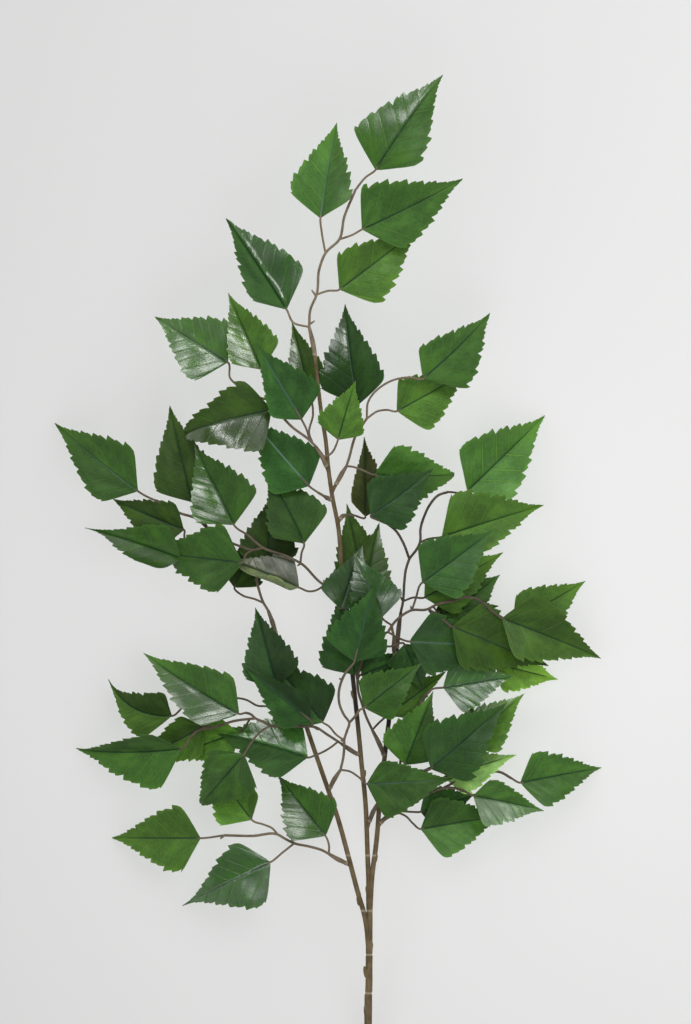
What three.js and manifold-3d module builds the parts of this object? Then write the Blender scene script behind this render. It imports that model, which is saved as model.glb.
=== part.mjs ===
// An artificial birch spray, lying on its back on a table: a jointed brown stem that
// forks in three, and leafy side sprays whose sleeves are pushed on the stem's stubs.
// Millimetres, +Z up, +Y from the cut end of the stem to the top leaf.
import * as THREE from 'three';
import Module from 'manifold-3d';

const wasm = await Module();
wasm.setup();
const { Manifold, Mesh } = wasm;

// Sizes that drive the part.
const BLADE = 0.9;           // thickness of a leaf blade
const WIRE = 0.85;           // radius of the covered wire behind one leaf
const AXIS = 1.05;           // radius of the wire that carries several leaves
const SLEEVE = 1.85;         // radius of a sleeve at its thickest
const SLEEVE_MOUTH = 1.55;   // radius of a sleeve where it meets its stub
const STUB = 1.45;           // radius of the stub that a sleeve meets
const SEAT_GAP = 0.3;        // left between a stub and its sleeve
const COLLAR = 1.8;          // from the stub to where the sleeve first bends
const LIP = 0.1;             // a sleeve's narrow end is this much thicker than its wire
const SPUR_ROOT = 0.8;       // radius of a pruned spur on its wire
const SPUR_POINT = 0.4;
const BUD_POINT = 0.5;
const RIB = 5;               // length of a leaf's wire that is glued behind its blade
const RIB_DEPTH = 0.35;      // and how far below the midrib it ends
const WIRE_SIDES = 4;
const SLEEVE_SIDES = 5;
const STEM_SIDES = 7;
const TIDY = 0.02;           // how far a joined face may move when needless points are dropped
const TOOTH_OUT = 0.055;     // a tooth stands out by this share of the half width
const TOOTH_IN = 0.10;       // and the notch behind it cuts in by this share
const TOOTH_FADE = 1.4;      // teeth shrink where the blade is narrower than 1/1.4 of its widest
const STEM_COLOUR = 0x6b5c49;
const LEAF_COLOUR = 0x3f6b2f;

// Outline of half a leaf: share of the length, share of the half width.
const OUTLINE = [
  [0.00, 0.00], [0.04, 0.29], [0.08, 0.55], [0.12, 0.77], [0.16, 0.91], [0.20, 0.98],
  [0.26, 1.00], [0.33, 0.965], [0.42, 0.88], [0.50, 0.77], [0.58, 0.65], [0.66, 0.52],
  [0.74, 0.38], [0.82, 0.25], [0.90, 0.12], [0.95, 0.055], [1.00, 0.00],
];
// Shares of the length: the base's corner, the points of the five large teeth of each side,
// and how far past its tooth a notch lies.
const SHOULDER = 0.16;
const TEETH = [0.27, 0.41, 0.55, 0.68, 0.80];
const NOTCH = 0.03;

// The stem: x, y, z, radius along each of its three legs.
const CENTRE_LEG = [
  [31.0, -425, 2.7, 2.95], [31.4, -395, 2.9, 2.95], [32.0, -350, 4.6, 2.9], [32.4, -315, 7.4, 2.8],
  [32.5, -312, 7.7, 3.05], [32.6, -309, 8.0, 2.75], [32.9, -284, 10.2, 2.75], [33.0, -281, 10.5, 3.0],
  [33.0, -278, 10.8, 2.7], [33.0, -255, 13.4, 2.3], [32.6, -224, 17.5, 2.0], [31.8, -203, 20.0, 1.95],
  [29.8, -156, 26.0, 1.9], [26.7, -125.6, 30.0, 1.9], [24.8, -105, 33.0, 1.85], [21.6, -74, 37.0, 1.85],
  [19.0, -50, 40.0, 1.8], [14.6, -8, 45.0, 1.8], [10.8, 32, 49.0, 1.75], [8.0, 64, 52.0, 1.75],
  [4.0, 84, 54.0, 1.7], [0.0, 112, 56.0, 1.7], [-1.6, 130, 57.0, 1.65], [-4.8, 150, 57.5, 1.6],
  [-8.4, 180, 57.5, 1.55], [-10.5, 200, 57.0, 1.5],
];
const LEFT_LEG = [
  [31.8, -262, 12.8, 2.2], [29.0, -250, 13.6, 2.1], [24.8, -234, 15.0, 2.0], [16.6, -203, 18.4, 1.95],
  [7.2, -169, 22.5, 1.9], [0.0, -148, 25.0, 1.85], [-10.0, -119, 29.0, 1.8], [-17.1, -98, 31.5, 1.8],
  [-27.0, -68, 34.5, 1.75], [-35.5, -42, 37.5, 1.7], [-42.0, -22, 39.5, 1.6],
];
const RIGHT_LEG = [
  [33.6, -250, 14.0, 2.2], [34.0, -238, 15.4, 2.15], [34.9, -219, 17.6, 2.05], [37.8, -198, 20.0, 2.0],
  [40.0, -177, 22.4, 1.95], [41.0, -161, 24.4, 1.95], [45.1, -124, 29.5, 1.9], [49.2, -89, 34.0, 1.85],
  [53.4, -55, 39.0, 1.8], [55.2, -34, 41.5, 1.65],
];
// Small closed buds on the stem: from a point inside it to the bud's point, radius at its root.
const BUDS = [
  [[31.6, -298, 9.2], [27.9, -291.6, 10.4], 1.5], [[33.2, -278, 10.9], [36.4, -272.4, 12.2], 1.3],
  [[25.2, -240, 14.6], [22.6, -233.8, 16.0], 1.3], [[33.0, -232, 16.6], [30.6, -226.0, 17.8], 1.3],
  [[37.2, -206, 19.2], [39.9, -200.4, 20.6], 1.3], [[28.4, -139, 28.4], [30.4, -132.2, 30.0], 1.3],
  [[20.8, -75, 37.0], [18.2, -68.4, 38.4], 1.2], [[32.2, -330, 6.2], [29.0, -323.6, 7.2], 1.4],
];

// One entry for each side spray.
//   stub:   a point inside the stem and the end of the stub, which the sleeve meets
//   sleeve: the sleeve's middle and its narrow end
//   wires:  the wires that carry several leaves, each starting on what is already laid
//   spurs:  pruned side shoots, a point on the wire and the spur's point
//   leaves: [name, fork, bends, base, tip, left and right half width, roll, fold, bow, sway]
// fork is the place on the spray's wires, seen from above, where the leaf's own wire
// starts. Roll and fold are in degrees. Bow lifts the middle of the midrib, and sway moves it
// to the right, both in mm. Left and right are seen from the base to the tip.
const SPRAYS = [
  { node: 'crown_spray', stub: null, sleeve: [[-12.4, 211, 57.4], [-15, 222, 57.8]],
    wires: [
      [[-15, 222, 57.8], [-14, 236, 58.4], [-9, 248, 58.6], [-7, 268, 57.6], [-2, 281, 56.4],
        [9, 292, 54.5], [13, 310, 50.5], [22, 332, 45]],
    ],
    spurs: [[[-9.6, 247, 58.6], [-13, 251.5, 60]], [[-15, 224, 57.9], [-10.6, 227, 59]]],
    leaves: [
      ['crown 1', [22, 332], [[30, 342]], [38, 348, 41], [92, 425, 24], 31, 28, -10, 14, 8, 0],
      ['crown 2', [-2, 281], [[-5, 298]], [-6, 309, 51], [7, 387, 20], 27, 22.5, -8, 14, 6, 0],
      ['crown 3', [9, 292], [[20, 296]], [27, 300, 53], [108, 341, 40], 32, 27, 12, 12, 5, 0],
      ['crown 4', [-9, 248], [[0, 251]], [9, 252, 52], [74, 303, 31], 24.5, 27, 12, 12, 3, 0],
      ['crown 5', [-15, 222], [[-28, 226]], [-33, 236, 54], [-82, 310, 24], 22, 29, 10, 24, 3, 0],
    ] },
  { node: 'upper_left_spray',
    stub: [[0.8, 106, 55.4], [-1.6, 111.6, 59.2]], sleeve: [[-4.6, 118.6, 62.4], [-10, 127, 64]],
    wires: [
      [[-10, 127, 64], [-14.5, 131.5, 64.5], [-30, 143.5, 60], [-41, 156.5, 56],
        [-46.5, 164.2, 54], [-52, 165, 53], [-62, 168, 50], [-73, 176, 47]],
    ],
    spurs: [],
    leaves: [
      ['upper left 1', [-73, 176], [[-78, 181]], [-80, 194, 43], [-139, 231, 22], 27.5, 27, 2, 12, 2, 0],
      ['upper left 2', [-46.5, 164], [[-50.5, 178]], [-53, 188, 52], [-80, 250, 38], 21, 22, 0, 20, 2, 0],
      ['upper left 3', [-46.5, 164.2], [[-44.5, 160]],
        [-45, 156, 60], [-123, 135.5, 62], 31, 27, 6, 14, 9, 0],
      ['upper left 4', [-14.5, 131.5], [[-17, 140]],
        [-21, 148, 71], [-57, 208, 70], 26, 19, 180, 10, -4, 0],
      ['upper left 5', [-12, 129], [[-15, 137], [-12, 152]],
        [-14, 168, 45], [-29, 227, 36], 14, 17, 0, 18, 3, 0],
      ['upper left 6', [-4.6, 118.6], [[1, 120]], [8, 132, 67], [22, 179, 68], 20, 18, -4, 10, 4, 0],
    ] },
  { node: 'upper_right_spray',
    stub: [[3.4, 91, 54.6], [6.8, 97.2, 55.8]], sleeve: [[10.8, 104.6, 56.6], [14.8, 111, 57]],
    wires: [[[14.8, 111, 57], [17, 118, 56.8], [22, 135, 55.6], [31, 149, 54]]],
    spurs: [],
    leaves: [
      ['upper right 1', [22, 135], [[23, 148]], [24, 160, 42], [13.5, 241, 34], 28, 25, -4, 20, 9, 0],
      ['upper right 2', [31, 149], [[32, 162], [48, 178], [65, 182]],
        [76, 181, 50], [130, 234, 22], 22.5, 27.5, 18, 14, 5, 0],
      ['upper right 3', [31, 149], [[40, 155], [47, 156]],
        [55, 155, 42], [115, 190, 18], 22, 25, 12, 12, 3, 0],
      ['upper right 4', [14.8, 111], [[20, 110.5], [27, 108]],
        [37, 104, 50], [106, 104, 28], 25, 27, 8, 12, 5, 0],
    ] },
  { node: 'left_leaf',
    stub: [[4.4, 83, 54.2], [1.6, 84.6, 56.4]], sleeve: [[-0.6, 85.6, 57.8], [-3, 87, 58.8]],
    wires: [[[-3, 87, 58.8], [-8, 90, 60]]], spurs: [],
    leaves: [['left leaf', [-8, 90], [], [-15, 95, 61], [-62, 150, 52], 24, 26, 172, 10, -4, 0]] },
  { node: 'right_leaf',
    stub: [[7.4, 65.5, 52.2], [9.8, 69.0, 51.4]], sleeve: [[12, 71.2, 51], [14.5, 72, 50.4]],
    wires: [[[14.5, 72, 50.4], [20, 72, 47]]], spurs: [],
    leaves: [['right leaf', [20, 72], [], [30, 70.5, 40], [29, 134.5, 35], 12, 20, 2, 22, 3, 0]] },
  { node: 'left_upper_spray',
    stub: [[12.0, 9, 47.4], [9.4, 11.0, 50.2]], sleeve: [[4.6, 13.2, 51.6], [-0.4, 15, 52]],
    wires: [
      [[-0.4, 15, 52], [-3, 16.2, 52], [-22, 33.6, 52.5], [-33, 39, 53], [-52, 46, 54.5], [-64, 56, 55]],
      [[-52, 46, 54.5], [-60, 44, 51], [-70, 47, 46], [-84, 52, 44], [-100, 55, 43], [-108, 54, 42],
        [-113, 50, 41]],
      [[-84, 52, 44], [-96, 61, 42], [-106, 69.5, 41], [-117, 73, 40], [-135, 82, 38.5]],
    ],
    spurs: [[[-1.6, 15.6, 52], [-3.6, 20, 53]], [[-21.5, 33.2, 52.5], [-24.4, 31.4, 54]]],
    leaves: [
      ['left upper 1', [-135, 82], [], [-152, 91, 36], [-220, 146, 0.5], 24.5, 28, -14, 20, 5, 0],
      ['left upper 2', [-64, 56], [], [-75, 64, 56], [-107, 128, 44], 27.5, 28.5, 2, 18, 5, 0],
      ['left upper 3', [-96, 61], [[-102, 72]], [-108, 82, 38], [-127, 160, 24], 26, 22, -8, 12, 4, 0],
      ['left upper 4', [-22, 33.6], [[-21, 42]], [-19, 49, 54], [-50, 104, 33], 24, 27, 16, 14, 9, 0],
      ['left upper 5', [-113, 50], [[-115, 55]], [-115, 60, 39], [-173, 85, 18], 22, 17.5, -10, 12, 4, 0],
      ['left upper 6', [-108, 54], [[-112, 42]], [-117, 37, 43], [-195, 62, 26], 28, 20, 18, 24, 4, 0],
      ['left upper 7', [-60, 44], [[-66, 40]], [-68, 34, 58], [-132, 41, 26], 26, 28, 0, 12, 13, 0],
      ['left upper 8', [-3, 16.2], [[-8, 12.5], [-15, 11]],
        [-23, 14, 52.5], [-82, 36, 40], 17, 19, 26, 20, 3, 0],
      ['centre 3', [4.6, 13.2], [[6, 6]], [10, -3, 52], [28, 48, 53], 20, 22, -2, 8, 5, 0],
    ] },
  { node: 'left_fork_tip_spray', stub: null, sleeve: [[-44.6, -13.4, 40.2], [-48, -4, 41]],
    wires: [[[-48, -4, 41], [-51.5, 1.6, 41.2], [-55.5, 13, 41], [-57.6, 21.6, 40.6]]], spurs: [],
    leaves: [
      ['left fork tip 1', [-51.5, 1.6], [[-58, 4.5], [-69, 8]],
        [-75, 14, 33], [-59, 54, 19], 18, 18, 12, 12, 2, 0],
      ['left fork tip 2', [-57.6, 21.6], [], [-49, 29, 39], [-46, 89, 33], 23, 23, 0, 8, 3, 0],
    ] },
  { node: 'right_fork_tip_spray', stub: null, sleeve: [[56.6, -18, 43.4], [58.2, -6, 44.8]],
    wires: [
      [[58.2, -6, 44.8], [60, 3, 45.6], [61, 18, 46.5], [62.4, 29, 47], [65, 37, 47.4]],
      [[65, 37, 47.4], [72, 46.5, 46], [73.5, 50, 45.4], [74, 61, 43], [77, 71, 40.6], [82, 81, 38],
        [88, 87.6, 35.6], [96, 90.4, 33]],
      [[65, 37, 47.4], [60, 50, 53], [54, 59.6, 57], [48, 64.6, 59]],
    ],
    spurs: [[[60, 3, 45.6], [57.8, 7, 47]]],
    leaves: [
      ['right fork tip 1', [96, 90.4], [], [111.5, 91, 31], [174.5, 152, 0.5], 29, 28.5, 0, 12, 4, 0],
      ['right fork tip 2', [73.5, 50], [[79, 52.5]], [91, 54.5, 45], [173, 80, 22], 30, 25, -8, 16, 4, 0],
      ['right fork tip 3', [48, 64.6], [[41, 67.5]],
        [34, 71.5, 60.5], [84, 109, 50], 24, 23.5, 10, 10, 5, 0],
      ['right fork tip 4', [60, 3], [[68, 6]], [77, 6, 48], [140, 42, 36], 23, 23, 8, 10, 3, 0],
    ] },
  { node: 'right_mid_spray',
    stub: [[45.3, -123, 30.2], [44.4, -119.6, 33.6]], sleeve: [[41, -111, 36.4], [35.4, -100, 38.4]],
    wires: [
      [[35.4, -100, 38.4], [30, -88, 40], [27.2, -79, 41.4], [24.4, -70, 43], [23.6, -60, 45],
        [27, -46, 49], [36, -31, 54], [44, -23, 57], [48, -21.4, 58]],
      [[48, -21.4, 58], [52, -15, 58.6], [58, -9, 59], [67, -4, 59], [78, -3.6, 58], [88, 1, 57],
        [100, 3.6, 55.5], [110, 6.4, 53], [117, 5.6, 52], [124, 1.6, 50], [130, -4, 48]],
    ],
    spurs: [[[67, -4, 59], [66, -0.6, 60]]],
    leaves: [
      ['right mid 1', [67, -4], [[70, 5]], [75, 18, 63], [132, 60, 50], 26, 27, 2, 12, 6, 0],
      ['right mid 2', [130, -4], [], [139, -10.5, 46], [219, -43, 18], 27, 26.5, -8, 14, 5, 0],
      ['right mid 3', [130, -4], [[138, -12]], [148, -15, 30], [207, 19, 4], 19, 24, 0, 12, 3, 0],
      ['right mid 4', [80, -3], [[86, -6.6]], [99, -17, 58], [177, -49, 22], 27, 27, -6, 6, 0, 0],
      ['right mid 5', [48, -21.4], [[56, -26]], [65, -29, 57], [134, -32, 34], 24.5, 25, 4, 12, 5, 0],
      ['right mid 6', [84, -1], [[88, -6]], [92, -8, 40], [138, 24, 24], 22, 22, 10, 10, 3, 0],
      ['right mid 7', [80, -3.4], [[82, -6]], [85, -7, 37], [137, -1, 16], 18, 18, 0, 10, 2, 0],
      ['right mid 8', [36, -31], [[49, -33]], [61, -31, 52.5], [76, -68, 40], 18, 18, 0, 10, 2, 0],
      ['right mid 9', [23.6, -62], [], [22.5, -56, 45], [8, 10, 49.5], 26, 22, 0, 8, 2, 0],
      ['right mid 10', [23.6, -60], [], [26, -56, 39], [69, -40, 31], 14, 14, 0, 4, 0, 0],
      ['right mid 11', [35.4, -100], [[41, -94]], [48, -88, 41], [95, -53, 30], 18, 11, 10, 5, 2, 0],
      ['right mid 12', [95, -14], [[104, -28], [120, -42]],
        [134, -47, 24], [184.5, -60, 10], 18, 19.5, 0, 10, 2, 0],
    ] },
  { node: 'centre_spray',
    stub: [[15.0, -12, 44.0], [17.8, -9.6, 41.4]], sleeve: [[20.4, -6.6, 40.4], [23, -2, 40]],
    wires: [[[23, -2, 40], [25, 3, 39.4]]], spurs: [],
    leaves: [
      ['centre 1', [25, 3], [], [29, 13, 36], [15, 81, 36], 20, 21, 0, 10, 3, 0],
      ['centre 2', [23, -2], [], [27, 2, 44.5], [41, 66, 46], 22, 20, 0, 10, 4, 0],
    ] },
  { node: 'centre_right_leaf',
    stub: [[54.8, -43, 40.6], [53.4, -38.6, 43.8]], sleeve: [[52.8, -32, 46.4], [52.6, -25, 48]],
    wires: [[[52.6, -25, 48], [50.6, -16, 50]]], spurs: [],
    leaves: [['centre right leaf', [50.6, -16], [], [43, -9.6, 58], [20, 42, 65], 22, 22, 2, 10, 9, 0]] },
  { node: 'left_mid_spray',
    stub: [[26.0, -120.6, 31.0], [23.2, -119.2, 34.4]], sleeve: [[17, -115.4, 36.4], [10.6, -111, 37]],
    wires: [
      [[10.6, -111, 37], [0, -104, 40], [-11, -97.4, 45.4], [-20, -97, 49], [-35, -96.6, 51.6],
        [-45, -96.4, 52], [-52, -93, 52], [-58, -90.4, 51.6], [-62, -87, 51], [-66, -86, 50.6]],
      [[-58, -90.4, 51.6], [-75, -92.6, 50], [-92, -98, 46], [-104, -100.4, 43], [-110, -106, 40]],
    ],
    spurs: [[[-11, -97.4, 45.4], [-8, -99.8, 47]]],
    leaves: [
      ['left mid 1', [-66, -86], [], [-71, -87, 50], [-148, -38.5, 22], 25, 23, 10, 14, 8, -3],
      ['left mid 2', [-30, -96.7], [[-49, -81], [-56, -80.6], [-65, -76], [-92, -76], [-115, -81]],
        [-125, -89, 25], [-176.6, -60, 14], 20, 22, -16, 18, 4, -9],
      ['left mid 3', [-110, -106], [], [-117, -115, 38], [-203, -116, 0.5], 30, 21, -26, 28, 6, 0],
      ['left mid 4', [-92, -98], [], [-99, -97, 34], [-152, -126, 8], 20, 16, 0, 10, 2, 0],
      ['left mid 5', [-62, -92], [], [-72, -102, 31], [-127, -122, 14], 19, 19, 0, 10, 2, 0],
      ['left mid 6', [-46, -96], [[-55, -102], [-62, -111]],
        [-67, -119, 56], [-104, -162, 38], 26, 23, 0, 14, 8, 0],
      ['left mid 7', [8, -109.4], [[2, -114], [-5, -118], [-10, -120]],
        [-16, -122, 43.5], [-93, -101, 27], 27, 28.5, 25, 12, 2, 0],
      ['left mid 8', [-11, -97.4], [[-12.2, -96.4, 54]],
        [-13.6, -92, 61], [-66, -50, 64], 14.5, 19, 180, 8, -4, 0],
      ['left mid 9', [-20, -97], [[-32, -82]], [-41, -66, 55], [-58, -2, 48], 23.5, 21.5, 4, 14, 4, 0],
    ] },
  { node: 'left_fork_side_spray',
    stub: [[0.4, -149.4, 25.0], [1.9, -146.0, 28.4]], sleeve: [[5.2, -139.4, 32.6], [10, -132, 36]],
    wires: [
      [[10, -132, 36], [12.2, -122, 41], [13, -113, 44.4], [13, -108, 46], [15, -101, 48.4],
        [17, -94, 51], [13, -88, 53.6], [9, -78, 57.6], [8.6, -70, 60.6], [11, -60, 64], [14.4, -53, 68]],
      [[17, -94, 51], [22, -88.4, 53], [25.4, -83.4, 54]],
    ],
    spurs: [[[13, -109, 45.6], [10.2, -108, 47]], [[11.4, -59, 64.4], [9, -58.6, 65.6]]],
    leaves: [
      ['side 1', [10, -132], [[17, -133], [25, -138]],
        [31, -143, 45], [100, -138.5, 47], 18.5, 27, 6, 12, 5, 0],
      ['side 2', [13, -108], [[7, -104], [0, -96.4]],
        [-4, -94, 41], [-50, -39, 42], 23, 24.5, 0, 6, 3, 0],
      ['side 3', [14.4, -53], [], [21, -45, 71], [37, 17, 73], 22.5, 26, 180, 8, -4, 0],
      ['side 4', [25.4, -83.4], [], [29, -82, 54.5], [75, -46, 62], 20.5, 20.5, 0, 10, 5, 0],
    ] },
  { node: 'lower_left_spray',
    stub: [[18.4, -209.4, 17.6], [14.4, -207.2, 20.6]], sleeve: [[8, -204, 23.4], [0.6, -199.6, 25.6]],
    wires: [
      [[0.6, -199.6, 25.6], [-4, -197, 26.6], [-15, -193.6, 28.4], [-27, -191, 30],
        [-35, -187, 31], [-40, -184, 31.4], [-60, -185, 31], [-83, -184.6, 29]],
    ],
    spurs: [[[-83, -184.6, 29], [-86.4, -187.4, 29.6]], [[-27, -191, 30], [-29.4, -188, 31.4]]],
    leaves: [
      ['lower left 1', [0.6, -199.6], [[0.8, -193]],
        [-2, -185, 35], [-40, -137, 22], 25, 23.5, 2, 20, 6, 0],
      ['lower left 2', [-40, -184], [[-45, -178.6], [-51, -176]],
        [-61, -172, 36], [-94, -126, 22], 23, 17, -10, 12, 4, 0],
      ['lower left 3', [-83, -184.6], [], [-102, -187, 26], [-174, -187.6, 0.5], 26.5, 25.5, 0, 10, 4, 0],
      ['lower left 4', [-27, -191], [[-36, -198]], [-46, -206, 32], [-117, -242, 6], 29, 25, 8, 10, 6, 0],
    ] },
  { node: 'lower_centre_spray',
    stub: [[31.2, -179, 23.2], [33.4, -173.0, 26.4]], sleeve: [[36, -166, 29.4], [40.4, -158, 32]],
    wires: [
      [[40.4, -158, 32], [47, -148, 33], [56, -138, 35]],
      [[56, -138, 35], [59, -120, 37.6], [66, -96, 40.6], [76, -74, 43.8]],
      [[56, -138, 35], [68, -136.5, 37.4], [76, -133, 42]],
    ],
    spurs: [],
    leaves: [
      ['lower centre 1', [56, -138], [], [61.6, -128, 40], [84, -69, 44], 24.5, 20, 0, 12, 4, 0],
      ['lower centre 2', [76, -133], [], [82, -131, 46.5], [143, -78, 46], 28, 27, 0, 10, 7, 0],
      ['lower centre 3', [68, -136.5], [[88, -127]],
        [112, -112, 38], [157, -71, 33], 20, 22, -14, 12, 3, 0],
      ['lower centre 4', [76, -74], [[84, -67]], [92, -66, 46], [148, -57, 34], 23, 22.5, -6, 12, 2, 0],
    ] },
  { node: 'lower_right_spray',
    stub: [[40.0, -178, 22.4], [42.6, -174.4, 25.0]], sleeve: [[48.4, -169.4, 27], [56, -166.4, 28.4]],
    wires: [
      [[56, -166.4, 28.4], [68, -159, 31], [84, -149.5, 34.6], [92, -146.6, 36], [100, -146.4, 37.4],
        [109, -149, 38]],
      [[92, -146.6, 36], [108, -139, 32], [125, -134, 30], [138, -134, 29.4], [147, -139, 29]],
    ],
    spurs: [],
    leaves: [
      ['lower right 1', [56, -166.4], [[62, -169], [68, -175]],
        [74, -179.5, 32], [142, -169, 18], 22, 26, -6, 12, 4, 0],
      ['lower right 2', [58, -165.4], [[68, -166]],
        [74, -166, 23], [118, -152, 12], 19, 19, 10, 10, 2, 0],
      ['lower right 3', [109, -149], [], [116, -152.5, 39], [173, -165, 29], 15.5, 22.5, -10, 12, 4, 0],
      ['lower right 4', [147, -139], [], [154, -142.5, 28], [220, -131, 0.5], 21.5, 23, -6, 12, 3, 0],
      ['lower right 5', [84, -149.5], [[88, -143]],
        [93, -138, 30], [151, -120, 32], 16, 19, -12, 10, 2, 0],
    ] },
];

const v = (p) => new THREE.Vector3(p[0], p[1], p[2]);
const rad = THREE.MathUtils.degToRad;

// Reads a curve given as pairs, straight between its points.
function lookup(pairs, a) {
  let i = 1;
  while (i < pairs.length - 1 && pairs[i][0] < a) i += 1;
  const [a0, b0] = pairs[i - 1];
  const [a1, b1] = pairs[i];
  return b0 + (b1 - b0) * (a - a0) / (a1 - a0);
}

// A closed solid from its points and its triangles.
function solid(points, faces) {
  const vertProperties = new Float32Array(points.length * 3);
  points.forEach((p, i) => p.toArray(vertProperties, i * 3));
  const triVerts = new Uint32Array(faces.flat());
  const made = new Manifold(new Mesh({ numProp: 3, vertProperties, triVerts }));
  if (made.volume() <= 0) throw new Error('a solid is inside out');
  return made;
}

// A round bar through points, each with its own radius.
function bar(path, sides) {
  const at = path.map(v);
  const along = at.map((p, i) => {
    const a = at[Math.max(i - 1, 0)];
    const b = at[Math.min(i + 1, at.length - 1)];
    return b.clone().sub(a).normalize();
  });
  const side = new THREE.Vector3(0, 0, 1).cross(along[0]).normalize();
  const points = [];
  const faces = [];
  at.forEach((p, i) => {
    side.addScaledVector(along[i], -side.dot(along[i])).normalize();
    const up = along[i].clone().cross(side);
    for (let k = 0; k < sides; k += 1) {
      const t = 2 * Math.PI * k / sides;
      const r = path[i][3];
      const out = side.clone().multiplyScalar(r * Math.cos(t)).addScaledVector(up, r * Math.sin(t));
      points.push(p.clone().add(out));
    }
  });
  for (let i = 0; i + 1 < at.length; i += 1) {
    for (let k = 0; k < sides; k += 1) {
      const a = i * sides + k;
      const b = i * sides + (k + 1) % sides;
      faces.push([a, b, b + sides], [a, b + sides, a + sides]);
    }
  }
  const last = (at.length - 1) * sides;
  for (let k = 1; k + 1 < sides; k += 1) {
    faces.push([0, k + 1, k], [last, last + k, last + k + 1]);
  }
  return solid(points, faces);
}

// The nearest place, seen from above, on the wires laid so far.
function nearest(laid, place) {
  let best = null;
  for (const wire of laid) {
    for (let i = 0; i + 1 < wire.length; i += 1) {
      const [ax, ay, az] = wire[i];
      const [bx, by, bz] = wire[i + 1];
      const l2 = (bx - ax) ** 2 + (by - ay) ** 2;
      const along = ((place[0] - ax) * (bx - ax) + (place[1] - ay) * (by - ay)) / l2;
      const t = Math.min(1, Math.max(0, along));
      const q = [ax + (bx - ax) * t, ay + (by - ay) * t, az + (bz - az) * t];
      const d = Math.hypot(q[0] - place[0], q[1] - place[1]);
      if (best === null || d < best.d) best = { d, q };
    }
  }
  return best.q;
}

// Heights for bends that are given only as seen from above.
function withHeights(start, bends, end) {
  const path = [start, ...bends, end];
  const run = [0];
  for (let i = 1; i < path.length; i += 1) {
    run.push(run[i - 1] + Math.hypot(path[i][0] - path[i - 1][0], path[i][1] - path[i - 1][1]));
  }
  const rise = (end[2] - start[2]) / run[run.length - 1];
  return path.map((p, i) => [p[0], p[1], p[2] ?? start[2] + rise * run[i]]);
}

// The frame of a leaf: from base to tip, to its right, and out of its upper face.
function leafFrame(base, tip, roll) {
  const along = v(tip).sub(v(base));
  const long = along.length();
  along.normalize();
  const up = new THREE.Vector3(0, 0, 1).addScaledVector(along, -along.z).normalize();
  const right = along.clone().cross(up).normalize();
  const turned = up.multiplyScalar(Math.cos(rad(roll))).addScaledVector(right, Math.sin(rad(roll)));
  return { along, right: along.clone().cross(turned).normalize(), up: turned, long };
}

// A toothed blade, folded along its midrib and bowed from base to tip. A place on it has the
// share a of the length and lies c from the midrib.
function blade([, , , base, tip, left, right, roll, fold, bow, sway]) {
  const f = leafFrame(base, tip, roll);
  const arch = (a) => 4 * a * (1 - a);
  const at = (a, c) => v(base)
    .addScaledVector(f.along, a * f.long)
    .addScaledVector(f.right, c * Math.cos(rad(fold)) + sway * arch(a))
    .addScaledVector(f.up, Math.abs(c) * Math.sin(rad(fold)) + bow * arch(a));
  const thick = BLADE / Math.cos(rad(fold)) / 2;
  const points = [];
  const put = (p) => {
    points.push(p.clone().addScaledVector(f.up, thick), p.clone().addScaledVector(f.up, -thick));
    return points.length / 2 - 1;
  };
  const share = (a, step) => {
    const plain = lookup(OUTLINE, a);
    return plain + step * Math.min(1, plain * TOOTH_FADE);
  };
  const root = put(at(0, 0));
  const point = put(at(1, 0));
  const mids = [SHOULDER, ...TEETH].map((a) => put(at(a, 0)));
  const faces = [];
  for (const [side, half] of [[-1, left], [1, right]]) {
    const both = (i, j, k) => {
      const [m, n] = side < 0 ? [j, k] : [k, j];
      faces.push([2 * i, 2 * m, 2 * n], [2 * i + 1, 2 * n + 1, 2 * m + 1]);
    };
    const rim = (i, j) => {
      const [m, n] = side < 0 ? [i, j] : [j, i];
      faces.push([2 * m, 2 * m + 1, 2 * n + 1], [2 * m, 2 * n + 1, 2 * n]);
    };
    const edge = [put(at(SHOULDER, side * half * share(SHOULDER, 0)))];
    for (const a of TEETH) {
      edge.push(put(at(a, side * half * share(a, TOOTH_OUT))));
      edge.push(put(at(a + NOTCH, side * half * share(a + NOTCH, -TOOTH_IN))));
    }
    both(root, mids[0], edge[0]);
    both(edge[0], mids[0], mids[1]);
    both(edge[0], mids[1], edge[1]);
    for (let k = 1; k < mids.length; k += 1) {
      const [tooth, notch] = [edge[2 * k - 1], edge[2 * k]];
      const next = k + 1 < mids.length ? mids[k + 1] : point;
      both(tooth, mids[k], notch);
      both(mids[k], next, notch);
      if (k + 1 < mids.length) both(notch, next, edge[2 * k + 1]);
    }
    [root, ...edge, point].forEach((i, k, all) => {
      if (k > 0) rim(i, all[k - 1]);
    });
  }
  return solid(points, faces);
}

// Several solids as one, without the needless points that joining leaves.
function joined(pieces) {
  return Manifold.union(pieces).asOriginal().simplify(TIDY);
}

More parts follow.
